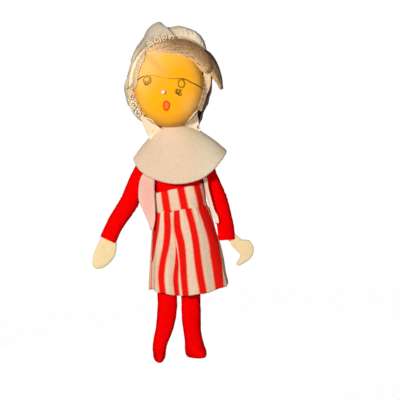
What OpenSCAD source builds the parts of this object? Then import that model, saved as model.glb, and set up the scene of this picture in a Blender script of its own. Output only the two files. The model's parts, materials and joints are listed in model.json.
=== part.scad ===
// Posable felt doll: an old lady in a frilled cap, wire spectacles, a wide felt
// collar and a striped apron.  Limbs are felt tubes over batting and soft wire.
// The doll stands upright, faces -Y and has its soles on z = 0.

/* [Head] */
// Diameter of the stuffed head over the face felt
head_d = 51; // [50:0.5:52]
// Thickness of the face felt
face_t = 1.2; // [0.8:0.1:1.6]
// Diameter of the neck ball that the head tips on
neck_ball_d = 14; // [13:0.5:14]
// Diameter of the nose bead
nose_d = 3.4; // [2.4:0.2:4]
// Diameter of the spectacle wire
frame_wire_d = 0.8; // [0.6:0.1:1]
// Diameter of one spectacle lens loop, to the middle of the wire
lens_d = 4.6; // [4:0.2:6]

/* [Cap] */
// Thickness of the cap cloth
cap_t = 1.0; // [0.8:0.1:1.4]
// Depth of the cap behind the middle of the head
cap_back = 31; // [29:0.5:33]

/* [Torso] */
// Front-to-back size of the stuffed body
body_depth = 24; // [22:0.5:24]
// Distance between the two round sides of the body
body_spread = 13; // [11:0.5:13]
// Thickness of the red felt
felt_t = 1.2; // [0.8:0.1:1.4]
// Length of the wooden spine stick
stick_l = 62; // [58:1:62]
// Width of the wooden spine stick
stick_w = 10; // [8:0.5:10]
// Thickness of the wooden spine stick
stick_t = 2; // [1.5:0.1:2]

/* [Arms] */
// Diameter of a sleeve
sleeve_d = 11.8; // [11:0.1:12]
// Diameter of the stuffed elbow and shoulder ends
arm_ball_d = 13.6; // [13:0.1:13.8]
// Thickness of a felt hand
hand_t = 4.6; // [3.6:0.2:5]

/* [Legs] */
// Diameter of a legging
leg_d = 13.4; // [12.6:0.1:13.6]
// Diameter of the stuffed hip and knee ends
leg_ball_d = 16; // [15:0.1:16.4]

/* [Armature] */
// Diameter of the soft armature wire
wire_d = 1.6; // [1:0.1:2]
// Clearance between two soft ends at a joint
joint_gap = 0.35; // [0.3:0.05:0.5]

/* [Apron] */
// Thickness of the apron cloth
apron_t = 1.1; // [0.8:0.1:1.3]
// Half width of the skirt at its hem
hem_half_w = 29; // [27:0.5:31]
// Half depth of the skirt at its hem
hem_half_d = 20; // [18:0.5:21]
// Height of the front of the hem above the soles
hem_z = 50; // [48:0.5:54]

/* [Collar] */
// Thickness of the collar felt
collar_t = 1.4; // [1:0.1:1.6]
// Height of the collar's front edge above the soles
collar_front_z = 133; // [131:0.5:136]

/* [Hidden] */
$fn = 64;

// the model is moved as a whole so that its origin is below the middle of its box
shift = [9.99, -1.08, 0];

fit = 0.08;                 // gap between two layers that lie on each other
head_r = head_d / 2;
HC = [-2, -1, 201.5];       // middle of the head
NK = [0, 0, 171];           // neck ball
neck_r = neck_ball_d / 2;
body_r = body_depth / 2;
bx = -1;                    // the body's middle lies a little to the left
hs = body_spread / 2;
ar = arm_ball_d / 2;
sr = sleeve_d / 2;
lr = leg_ball_d / 2;
tr = leg_d / 2;
wr = wire_d / 2;
stick_z = 91.5;             // lower end of the stick, clear of the hips

// limb joints: shoulder, elbow, wrist; hip, knee, ankle
LS = [-23.5, 0, 150];  LE = [-39.5, 0, 121];  LW = [-57, -2, 95.5];
RS = [20.5, 0, 150];   RE = [28, 0, 118];     RW = [32.3, -1, 87.5];
LH = [-12.5, 0, 84];   LK = [-17.3, 0, 47.5]; LA = [-25.6, 1, 13.5];
RH = [5.5, 0, 84];     RK = [0.8, 0, 46.5];   RA = [0.2, 1, 13.5];

// ---- vectors and curves
function unit(v) = v / norm(v);
function mix(a, b, t) = a + (b - a) * t;
function crp(p0, p1, p2, p3, t) =
  0.5 * ((2 * p1) + (p2 - p0) * t + (2 * p0 - 5 * p1 + 4 * p2 - p3) * t * t
  + (3 * p1 - p0 - 3 * p2 + p3) * t * t * t);
// smooth curve through the points of an open list, n steps a span
function curve(P, n) = [for (i = [0:len(P) - 2]) for (k = [0:n - 1])
  crp(P[max(i - 1, 0)], P[i], P[i + 1], P[min(i + 2, len(P) - 1)], k / n), P[len(P) - 1]];
// smooth closed curve
function loop_curve(P, n) = let (m = len(P)) [for (i = [0:m - 1]) for (k = [0:n - 1])
  crp(P[(i + m - 1) % m], P[i], P[(i + 1) % m], P[(i + 2) % m], k / n)];
// height profile lookup: rows of [z, value], rising z
function prof(T, z) = lookup(z, T);
// one point of a cubic through a short list, s from 0 to 1
function along(P, s) = let (m = len(P) - 1, i = min(floor(s * m), m - 1), t = s * m - i)
  crp(P[max(i - 1, 0)], P[i], P[i + 1], P[min(i + 2, m)], t);

// ---- solids
// round rod from a to b
module rod(a, b, r1, r2) {
  d = b - a; L = norm(d);
  translate(a) rotate([0, acos(d[2] / L), atan2(d[1], d[0])]) cylinder(h = L, r1 = r1, r2 = r2);
}
module ball(c, r) { translate(c) sphere(r = r); }
// closed solid through rings that all have the same number of points
module loft(R) {
  m = len(R); n = len(R[0]);
  polyhedron(points = [for (r = R) for (p = r) p], convexity = 6, faces = concat(
    [[for (j = [0:n - 1]) j]],
    [[for (j = [n - 1:-1:0]) (m - 1) * n + j]],
    [for (i = [0:m - 2]) for (j = [0:n - 1]) [i * n + j, (i + 1) * n + j, (i + 1) * n + (j + 1) % n]],
    [for (i = [0:m - 2]) for (j = [0:n - 1]) [i * n + j, (i + 1) * n + (j + 1) % n, i * n + (j + 1) % n]]));
}
// swept solid along a path; W and T are the half width and half thickness at each point, A the direction of the width
module ribbon(P, W, T, A, n = 12) {
  m = len(P);
  loft([for (i = [0:m - 1])
    let (t = unit(P[min(i + 1, m - 1)] - P[max(i - 1, 0)]),
         u = unit(A[i] - t * (A[i] * t)), v = cross(t, u))
    [for (k = [0:n - 1]) let (a = -360 * k / n) P[i] + u * (W[i] * cos(a)) + v * (T[i] * sin(a))]]);
}
// closed skin between two grids, G outside and H inside, [row][column]; rows may close on themselves
module skin(G, H, round = false) {
  m = len(G); n = len(G[0]); o = m * n; e = round ? n - 1 : n - 2;
  polyhedron(points = concat([for (r = G) for (p = r) p], [for (r = H) for (p = r) p]), convexity = 8,
    faces = concat(
      [for (i = [0:m - 2]) for (j = [0:e]) let (a = i * n + j, b = i * n + (j + 1) % n) [a, b, b + n]],
      [for (i = [0:m - 2]) for (j = [0:e]) let (a = i * n + j, b = i * n + (j + 1) % n) [a, b + n, a + n]],
      [for (i = [0:m - 2]) for (j = [0:e]) let (a = o + i * n + j, b = o + i * n + (j + 1) % n) [a, b + n, b]],
      [for (i = [0:m - 2]) for (j = [0:e]) let (a = o + i * n + j, b = o + i * n + (j + 1) % n) [a, a + n, b + n]],
      [for (j = [0:e]) let (a = j, b = (j + 1) % n) [b, a, a + o]],
      [for (j = [0:e]) let (a = j, b = (j + 1) % n) [b, a + o, b + o]],
      [for (j = [0:e]) let (a = (m - 1) * n + j, b = (m - 1) * n + (j + 1) % n) [a, b, b + o]],
      [for (j = [0:e]) let (a = (m - 1) * n + j, b = (m - 1) * n + (j + 1) % n) [a, b + o, a + o]],
      round ? [] : [for (i = [0:m - 2]) let (a = i * n, b = a + n) [a, b, b + o]],
      round ? [] : [for (i = [0:m - 2]) let (a = i * n, b = a + n) [a, b + o, a + o]],
      round ? [] : [for (i = [0:m - 2]) let (a = i * n + n - 1, b = a + n) [b, a, a + o]],
      round ? [] : [for (i = [0:m - 2]) let (a = i * n + n - 1, b = a + n) [b, a + o, b + o]]));
}

// ---- torso: a profile of half depth over height, round at both sides and straight between
torso_prof = [[82, 4], [83, 6.2], [85, 8.2], [88, 9.8], [93, 11], [100, 11.7], [112, 12], [130, 12],
  [138, 11.4], [144, 10], [150, 7.5], [155, 6.9], [160, 6.7], [165, 6.4]];
module torso_solid(inset) {
  k = body_r / 12;
  P = [for (p = torso_prof) [max(p[1] * k - inset, 0.6), p[0] + (p[0] < 90 ? inset : p[0] > 160 ? -inset : 0)]];
  poly = concat([[0, P[0][1]]], P, [[0, P[len(P) - 1][1]]]);
  translate([bx - hs, 0, 0]) rotate_extrude() polygon(poly);
  translate([bx + hs, 0, 0]) rotate_extrude() polygon(poly);
  translate([bx - hs, 0, 0]) rotate([90, 0, 90]) linear_extrude(2 * hs)
    polygon(concat(P, [for (i = [len(P) - 1:-1:0]) [-P[i][0], P[i][1]]]));
}
module stick_shape(x) {
  rotate([90, 0, 0]) translate([0, 0, -stick_t / 2 - x]) linear_extrude(stick_t + 2 * x) union() {
    translate([-stick_w / 2 - x, stick_z + stick_w / 2]) square([stick_w + 2 * x, stick_l - stick_w]);
    translate([0, stick_z + stick_w / 2]) circle(r = stick_w / 2 + x);
    translate([0, stick_z + stick_l - stick_w / 2]) circle(r = stick_w / 2 + x);
  }
}
module cross_rod(z, x0, x1, r) { translate([x0, 2.4, z]) rotate([0, 90, 0]) cylinder(h = x1 - x0, r = r); }
module hip_cuts() { ball(LH, lr + joint_gap); ball(RH, lr + joint_gap); }

module spine_stick() color([0.86, 0.72, 0.5]) translate(shift) stick_shape(0);
module shoulder_wire() color([0.6, 0.6, 0.62]) translate(shift) cross_rod(146, -13, 11, wr);
module hip_wire() color([0.6, 0.6, 0.62]) translate(shift) cross_rod(98, -14, 12, wr);
module torso_felt() color([0.85, 0.02, 0.03]) translate(shift) difference() {
  torso_solid(0);
  torso_solid(felt_t);
  hip_cuts();
  translate([0, 0, 154]) cylinder(h = 20, r = 5.5);
}
module torso_stuffing() color([0.95, 0.93, 0.88]) translate(shift) difference() {
  torso_solid(felt_t + fit);
  stick_shape(0.1);
  cross_rod(146, -13.1, 11.1, wr + 0.1);
  cross_rod(98, -14.1, 12.1, wr + 0.1);
  hip_cuts();
  translate([0, 0, 153.6]) cylinder(h = 20, r = 5.5);
}

// ---- apron
module stadium(r, z0, z1) {
  translate([bx - hs, 0, z0]) cylinder(h = z1 - z0, r = r);
  translate([bx + hs, 0, z0]) cylinder(h = z1 - z0, r = r);
  translate([bx - hs, -r, z0]) cube([2 * hs, 2 * r, z1 - z0]);
}
module apron_bib() color([0.93, 0.78, 0.66]) translate(shift) difference() {
  stadium(body_r + 0.3 + apron_t, 114.6, 132);
  stadium(body_r + 0.3, 110, 140);
  translate([-40, -1, 100]) cube([80, 40, 60]);
  // the upper edge rises a little to the right
  translate([-24, -20, 127]) rotate([0, -5, 0]) cube([60, 30, 20]);
}
module apron_waistband() color([0.93, 0.3, 0.25]) translate(shift) difference() {
  stadium(body_r + 0.3 + apron_t, 112.2, 114.5);
  stadium(body_r + 0.3, 110, 118);
  translate([-4, 8, 100]) cube([6, 12, 30]);
}
// skirt: an open ring, u = 0 at the back opening, 0.5 at the front
skirt_rows = [0, 0.14, 0.34, 0.56, 0.78, 1];
function skirt_pt(u, v, off) =
  let (a = 90 + 8 + u * (360 - 16), c = cos(a), s = sin(a),
       w = mix(body_r + hs + 1.4, hem_half_w, pow(v, 0.85)), d = mix(body_r + 1.0, hem_half_d, pow(v, 0.8)),
       fold = v * 0.7 * sin(a * 11), front = max(-s, 0), back = max(s, 0),
       zb = hem_z + 5 * (1 - front * front) - 1.5 * back)
  [mix(bx, -0.6, v) + (w + fold + off) * c, (d + fold + off) * s, mix(112, zb, v)];
module apron_skirt() color([0.93, 0.55, 0.47]) translate(shift)
  skin([for (v = skirt_rows) [for (j = [0:60]) skirt_pt(j / 60, v, apron_t)]],
       [for (v = skirt_rows) [for (j = [0:60]) skirt_pt(j / 60, v, 0)]]);
module strap(P, w) {
  C = curve(P, 3); m = len(C);
  ribbon(C, [for (i = [0:m - 1]) w], [for (i = [0:m - 1]) 0.5],
    [for (i = [0:m - 1]) let (s = i / (m - 1)) s < 0.6 ? [1, -0.15, 0.1] : [1, 0.1, 0]], 8);
}
left_strap_path = [[-24, -9.6, 106], [-25.5, -10, 116], [-25.5, -11, 125], [-22, -13.2, 135], [-16, -12.4, 146],
  [-13, -10.2, 156], [-12.6, -8.6, 163], [-12.4, -5, 167], [-12.4, 0, 168], [-12.2, 5, 167], [-11.8, 8.6, 163],
  [-11.2, 10.4, 156], [-10.6, 12.6, 147], [-9.6, 14, 136], [-9, 14.4, 118]];
right_strap_path = [[17.6, -10.4, 110], [18.2, -11, 116], [18, -11.4, 125], [15.6, -13.2, 135], [12, -12.4, 146],
  [10.2, -10.2, 156], [9.9, -8.6, 163], [9.5, -5, 167], [9.3, 0, 168], [9.1, 5, 167], [8.8, 8.6, 163],
  [8.4, 10.4, 156], [8, 12.6, 147], [7.6, 14, 136], [7, 14.4, 118]];
module left_strap() color([0.95, 0.76, 0.7]) translate(shift) strap(left_strap_path, 4.6);
module right_strap() color([0.95, 0.76, 0.7]) translate(shift) strap(right_strap_path, 3.2);
// bow behind the waist: knot, two flat loops with the ribbon on edge, and two tails
module slot_shape(x0, x1, r) {
  translate([x0, -r]) square([x1 - x0, 2 * r]);
  translate([x0, 0]) circle(r = r);
  translate([x1, 0]) circle(r = r);
}
module bow_loop(s) translate([0, 19, -2.8]) linear_extrude(5.6) difference() {
  slot_shape(min(s * 4.6, s * 22.4), max(s * 4.6, s * 22.4), 2.3);
  slot_shape(min(s * 4.6, s * 22.4), max(s * 4.6, s * 22.4), 1.3);
}
module bow_tail(s) translate([0, 19.4, 0]) rotate([96, 0, 0]) linear_extrude(0.9)
  polygon([[s * 0.8, -1.4], [s * 2.2, -1.2], [s * 6.4, -12], [s * 9.6, -24], [s * 12, -34], [s * 9, -32.6], [s * 7, -35], [s * 4.8, -24], [s * 2.6, -12]]);
module apron_bow() color([0.96, 0.85, 0.78]) translate(shift + [0, 0, 107]) {
  translate([0, 19, -3.6]) cylinder(h = 7.2, r = 2.9);
  bow_loop(1);
  bow_loop(-1);
  bow_tail(1);
  bow_tail(-1);
}

// ---- collar: a felt ring draped over the shoulders, 0 degrees to the right, 270 to the front
function collar_rim(a) = let (c = cos(a), s = sin(a), p = c > 0 ? 1.7 : 1.15)
  s < 0 ? [2.1 + 35.3 * c, -3 - 20 * pow(-s, 0.9), 154.7 - (154.7 - collar_front_z) * pow(-s, p)]
        : [2.1 + 35.3 * c, -3 + 24 * pow(s, 0.9), 154.7 - 14 * pow(s, 1.5)];
function collar_pt(a, t, off) = let (r = collar_rim(a), q = [10 * cos(a), 9.4 * sin(a), 175.6])
  [mix(q[0], r[0], t) + off * 0.55 * cos(a), mix(q[1], r[1], t) + off * 0.75 * sin(a), mix(q[2], r[2], pow(t, 1.25)) + off * 0.6];
module collar() color([0.9, 0.8, 0.7]) translate(shift)
  skin([for (t = [0, 0.2, 0.4, 0.6, 0.8, 1]) [for (j = [0:47]) collar_pt(j * 7.5, t, collar_t)]],
       [for (t = [0, 0.2, 0.4, 0.6, 0.8, 1]) [for (j = [0:47]) collar_pt(j * 7.5, t, 0)]], true);

// ---- neck and head
module neck_stalk() color([0.95, 0.68, 0.2]) translate(shift) {
  translate([0, 0, 154.2]) cylinder(h = 14, r = 5.1);
  ball(NK, neck_r);
}
module head_stuffing() color([0.95, 0.93, 0.88]) translate(shift) difference() {
  ball(HC, head_r - face_t - fit);
  ball(NK, neck_r + joint_gap);
}
module face_felt() color([0.97, 0.7, 0.16]) translate(shift) difference() {
  ball(HC, head_r);
  ball(HC, head_r - face_t);
  ball(NK, neck_r + joint_gap);
}
// point on the face over [x, z], lifted by h
function face_pt(x, z, h = 0) = let (dx = x - HC[0], dz = z - HC[2], r = head_r + h)
  [x, HC[1] - sqrt(r * r - dx * dx - dz * dz), z];
module stitched_eye(x, z) {
  p = face_pt(x, z, 0.12);
  rod(p, p + unit(p - HC) * 0.5, 1.1, 0.8);
}
module left_eye() color([0.1, 0.08, 0.07]) translate(shift) stitched_eye(-17.6, 208.2);
module right_eye() color([0.1, 0.08, 0.07]) translate(shift) stitched_eye(4, 200);
module nose_bead() color([0.97, 0.88, 0.84]) translate(shift) difference() {
  ball(face_pt(-6.9, 201.2, 0.9), nose_d / 2);
  ball(HC, head_r + 0.02);
}
module mouth_patch() color([0.93, 0.33, 0.12]) translate(shift) intersection() {
  difference() { ball(HC, head_r + 0.7); ball(HC, head_r + 0.02); }
  translate([-5.6, -10, 191.2]) rotate([90, 0, 0]) linear_extrude(30)
    polygon([for (k = [0:23]) [2.3 * cos(k * 15), 3.1 * sin(k * 15)]]);
}
// spectacles: one bent wire that turns once round each lens, one wire thickness forward
function lens_turn(c, y, n) = [for (k = [0:n]) let (t = 360 * k / n)
  [c[0] + lens_d / 2 * sin(t), y - (frame_wire_d + 0.2) * k / n, c[1] + lens_d / 2 * cos(t)]];
spec_path = concat(
  curve([[-33.6, -9.6, 206.2], [-30, -13.4, 208.2], [-26, -16.6, 211], [-22, -18.6, 213.6], [-19.4, -20.2, 214.4]], 3),
  lens_turn([-18.2, 214.2 - lens_d / 2], -20.8, 16),
  curve([[-16.4, -22.6, 214.2], [-10, -25.2, 213], [-4, -26.4, 210.6], [2, -26.8, 210], [5.8, -26.2, 209.4]], 4),
  lens_turn([7, 209.2 - lens_d / 2], -26, 16),
  curve([[8.6, -26.2, 209.2], [14, -22.6, 206.4], [19.6, -17.4, 203], [22.4, -13.8, 201.4], [23.6, -11.6, 200.8]], 3));
module spectacles() color([0.35, 0.27, 0.12]) translate(shift)
  ribbon(spec_path, [for (p = spec_path) frame_wire_d / 2], [for (p = spec_path) frame_wire_d / 2],
    [for (p = spec_path) [0, 1, 0]], 8);
// hair: a combed roll across the brow and a lock that leaves it on the right
module hair(P, R, T, A, n) {
  C = curve(P, 3); m = len(C);
  ribbon(C, [for (i = [0:m - 1]) along(R, i / (m - 1))], [for (i = [0:m - 1]) along(T, i / (m - 1))],
    [for (i = [0:m - 1]) A], n);
}
module hair_roll() color([0.85, 0.72, 0.55]) translate(shift)
  hair([[-21, -13, 227.2], [-13, -16.2, 229.8], [-3, -17.6, 231.4], [7, -17.2, 231], [16, -16, 226.6], [22.6, -14.8, 219.8], [26, -14.2, 213.4]],
       [1.6, 4, 6.2, 6.8, 6, 4.2, 1.8], [1.2, 2.2, 2.6, 2.8, 2.4, 1.8, 1.2], [0, -0.45, 1], 16);
module hair_lock() color([0.88, 0.78, 0.64]) translate(shift)
  hair([[30.4, -13.6, 223], [33.2, -13.4, 216], [35, -13.2, 209], [36.6, -13, 201]], [1.2, 3.4, 2.8, 0.6], [1, 2.2, 2, 0.6], [1, 0.3, 0.5], 12);
// cap: a puffed hood with its opening round the face; the front edge is tighter than the crown
cap_line = [[-18, 172.5], [-24, 180], [-30, 188], [-34, 197], [-35, 206], [-33, 217], [-29, 228], [-22, 239], [-14, 248],
  [-4, 253.4], [5, 250.6], [13, 250], [21, 246], [27, 238], [30, 228], [31.5, 217], [31.5, 206], [28.5, 195], [23, 184], [18, 172.5]];
edge_line = [[-18, 173], [-24, 180.5], [-29, 188.5], [-31.8, 198], [-32.2, 207], [-30.6, 217], [-26.4, 226.6], [-20, 234.4], [-12, 239.6],
  [-3, 242.4], [5, 243], [13, 241.6], [20, 237.6], [25.4, 231], [28.4, 222.6], [29.6, 213.6], [29.4, 204.6], [27, 194.6], [22.4, 184], [17.6, 173]];
cap_fit = [for (i = [0:40]) along(cap_line, i / 40)];
edge_fit = [for (i = [0:40]) along(edge_line, i / 40)];
cap_rows = [0, 0.07, 0.16, 0.32, 0.5, 0.66, 0.81, 0.93, 1];
function cap_pt(i, v, off) =
  let (w = v < 0.16 ? sin(90 * v / 0.16) : 1, p = mix(edge_fit[i], cap_fit[i], w), q = p - [-1, 206], a = v * 84,
       k = (norm(q) - off) / norm(q) * cos(a))
  [-1 + q[0] * k, -6.5 + (cap_back + 6.5 - off) * sin(a), 206 + q[1] * k + (q[1] < -20 ? 4 * (1 - cos(a)) : 0)];
module cap_crown() color([0.88, 0.83, 0.74]) translate(shift)
  skin([for (v = cap_rows) [for (i = [0:40]) cap_pt(40 - i, v, 0)]],
       [for (v = cap_rows) [for (i = [0:40]) cap_pt(40 - i, v, cap_t)]]);
// frill: a gathered strip round the front edge of the cap
function frill_pt(i, v, off) =
  let (p = edge_fit[i], q = p - [-1, 206], k = (norm(q) + 0.4 - 3.6 * v + 0.9 * v * sin(i * 90)) / norm(q))
  [-1 + q[0] * k, -7 - 3.2 * v - off, 206 + q[1] * k];
module cap_frill() color([0.93, 0.85, 0.72]) translate(shift)
  skin([for (v = [0, 0.5, 1]) [for (i = [1:39]) frill_pt(i, v, 0.9)]],
       [for (v = [0, 0.5, 1]) [for (i = [1:39]) frill_pt(i, v, 0)]]);
// the two short ends of the cap's ribbon, below the cheeks
module cap_ties() color([0.97, 0.95, 0.92]) translate(shift) {
  translate([0, -11.5, 0]) rotate([90, 0, 0]) linear_extrude(1) polygon([[-21.4, 178.6], [-16.4, 179.4], [-13.2, 173.4], [-18.6, 171.6]]);
  translate([0, -11.5, 0]) rotate([90, 0, 0]) linear_extrude(1) polygon([[11.4, 178.4], [18, 181.4], [17, 171.4], [12, 173.4]]);
}

// ---- limbs: felt tube with a round far end, batting, wire
// p near joint, q far joint; rp and rq are the radii of the ends there; r1 and r2 the tube's radii
module limb_felt(p, q, r1, r2, rp, rq) difference() {
  union() { rod(p, q, r1, r2); ball(q, rq); }
  ball(p, rp + joint_gap);
  rod(p, q, r1 - felt_t, r2 - felt_t);
  ball(q, rq - felt_t);
}
module limb_batting(p, q, r1, r2, rp, rq) difference() {
  union() { rod(p, q, r1 - felt_t - fit, r2 - felt_t - fit); ball(q, rq - felt_t - fit); }
  ball(p, rp + joint_gap + 0.3);
  rod(p, q, wr + 0.1, wr + 0.1);
}
module limb_wire(p, q, rp) {
  d = unit(q - p);
  rod(p + d * (rp + joint_gap + 0.6), q, wr, wr);
}
// the top of an arm is round as well
module arm_felt(p, q, r, R) difference() {
  union() { rod(p, q, r, r); ball(p, R); ball(q, R); }
  rod(p, q, r - felt_t, r - felt_t);
  ball(p, R - felt_t);
  ball(q, R - felt_t);
}
module arm_batting(p, q, r, R) difference() {
  union() { rod(p, q, r - felt_t - fit, r - felt_t - fit); ball(p, R - felt_t - fit); ball(q, R - felt_t - fit); }
  rod(p, q, wr + 0.1, wr + 0.1);
}
// ring of thread that holds an arm on, between the body and the arm's round top; s is -1 for left
module thread_ring(c, s, d, r, t) translate(c + [-s * d, 0, 0]) rotate([0, 90, 0])
  rotate_extrude($fn = 32) translate([r, 0]) circle(r = t, $fn = 16);

red = [0.88, 0.02, 0.02];
fill = [0.95, 0.93, 0.88];
steel = [0.6, 0.6, 0.62];
cream = [0.95, 0.87, 0.72];

module left_shoulder_thread() color(red) translate(shift) thread_ring(LS, -1, 6.75, 2.6, 0.18);
module right_shoulder_thread() color(red) translate(shift) thread_ring(RS, 1, 6.825, 0.9, 0.1);
module left_upper_sleeve() color(red) translate(shift) arm_felt(LS, LE, sr, ar);
module left_upper_batting() color(fill) translate(shift) arm_batting(LS, LE, sr, ar);
module left_upper_wire() color(steel) translate(shift) rod(LS, LE, wr, wr);
module left_lower_sleeve() color(red) translate(shift) limb_felt(LE, LW, sr, sr - 0.3, ar, ar - 0.8);
module left_lower_batting() color(fill) translate(shift) limb_batting(LE, LW, sr, sr - 0.3, ar, ar - 0.8);
module left_lower_wire() color(steel) translate(shift) limb_wire(LE, LW, ar);
module right_upper_sleeve() color(red) translate(shift) arm_felt(RS, RE, sr, ar);
module right_upper_batting() color(fill) translate(shift) arm_batting(RS, RE, sr, ar);
module right_upper_wire() color(steel) translate(shift) rod(RS, RE, wr, wr);
module right_lower_sleeve() color(red) translate(shift) limb_felt(RE, RW, sr, sr - 0.3, ar, ar - 0.8);
module right_lower_batting() color(fill) translate(shift) limb_batting(RE, RW, sr, sr - 0.3, ar, ar - 0.8);
module right_lower_wire() color(steel) translate(shift) limb_wire(RE, RW, ar);

// hands: two layers of felt in one mitten, drawn from the front
left_hand_line = [[-63.4, 95], [-67.6, 88.6], [-70, 82], [-70.4, 77], [-67.6, 74.4], [-63.4, 75.2], [-59, 79.4], [-54.8, 83.6], [-52.4, 89], [-51.2, 93]];
right_hand_line = [[33, 86], [38.4, 87.2], [46, 86.4], [50.2, 82], [50, 77.6], [46, 72.4], [39.4, 67.8], [38.4, 69.2], [40.6, 74], [38.4, 78], [32.6, 80.4], [29.6, 83]];
module felt_hand(line, w) difference() {
  translate([0, w[1] + hand_t / 2, 0]) rotate([90, 0, 0]) linear_extrude(hand_t) polygon(loop_curve(line, 3));
  ball(w, ar - 0.8 + joint_gap);
}
module left_hand() color(cream) translate(shift) felt_hand(left_hand_line, LW);
module right_hand() color(cream) translate(shift) felt_hand(right_hand_line, RW);

// legs
module left_thigh() color(red) translate(shift) arm_felt(LH, LK, tr, lr);
module left_thigh_batting() color(fill) translate(shift) arm_batting(LH, LK, tr, lr);
module left_thigh_wire() color(steel) translate(shift) rod(LH, LK, wr, wr);
module left_shin() color(red) translate(shift) limb_felt(LK, LA, tr, 5, lr, 5.3);
module left_shin_batting() color(fill) translate(shift) limb_batting(LK, LA, tr, 5, lr, 5.3);
module left_shin_wire() color(steel) translate(shift) limb_wire(LK, LA, lr);
module right_thigh() color(red) translate(shift) arm_felt(RH, RK, tr, lr);
module right_thigh_batting() color(fill) translate(shift) arm_batting(RH, RK, tr, lr);
module right_thigh_wire() color(steel) translate(shift) rod(RH, RK, wr, wr);
module right_shin() color(red) translate(shift) limb_felt(RK, RA, tr, 6, lr, 6.3);
module right_shin_batting() color(fill) translate(shift) limb_batting(RK, RA, tr, 6, lr, 6.3);
module right_shin_wire() color(steel) translate(shift) limb_wire(RK, RA, lr);
// foot: flat sole, toe towards the angle turn from straight ahead; L toe length, w half width
module felt_foot(a, turn, w, toe, heel, h, rb) difference() {
  translate([a[0], a[1], 0]) rotate([0, 0, turn])
    loft([for (k = [[0, 0.82], [0.9, 0.97], [2.6, 1], [h * 0.42, 0.93], [h * 0.7, 0.7], [h, 0.46]])
      let (f = k[1], up = k[0] / h)
      [for (j = [27:-1:0]) let (t = j * 360 / 28, c = cos(t), s = sin(t),
        L = s < 0 ? toe * (1 - 0.42 * up * up) : heel)
        [w * f * c * (s < 0 ? 1 - 0.12 * s * s : 1), L * f * s - (s < 0 ? 0 : 0), k[0]]]]);
  ball(a, rb + joint_gap);
}
module left_foot() color(red) translate(shift) felt_foot(LA, 2, 5.4, 15, 8, 15, 5.3);
module right_foot() color(red) translate(shift) felt_foot(RA, 38, 6.6, 17, 8, 16, 6.3);

spine_stick();
shoulder_wire();
hip_wire();
torso_felt();
torso_stuffing();
apron_bib();
apron_waistband();
apron_skirt();
left_strap();
right_strap();
apron_bow();
collar();
neck_stalk();
head_stuffing();
face_felt();
left_eye();
right_eye();
nose_bead();
mouth_patch();
spectacles();
hair_roll();
hair_lock();
cap_crown();
cap_frill();
cap_ties();
left_shoulder_thread();
left_upper_sleeve();
left_upper_batting();
left_upper_wire();
left_lower_sleeve();
left_lower_batting();
left_lower_wire();
left_hand();
right_shoulder_thread();
right_upper_sleeve();
right_upper_batting();
right_upper_wire();
right_lower_sleeve();
right_lower_batting();
right_lower_wire();
right_hand();
left_thigh();
left_thigh_batting();
left_thigh_wire();
left_shin();
left_shin_batting();
left_shin_wire();
left_foot();
right_thigh();
right_thigh_batting();
right_thigh_wire();
right_shin();
right_shin_batting();
right_shin_wire();
right_foot();
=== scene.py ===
"""Posable felt doll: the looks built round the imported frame."""
import json
import math
import random

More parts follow.
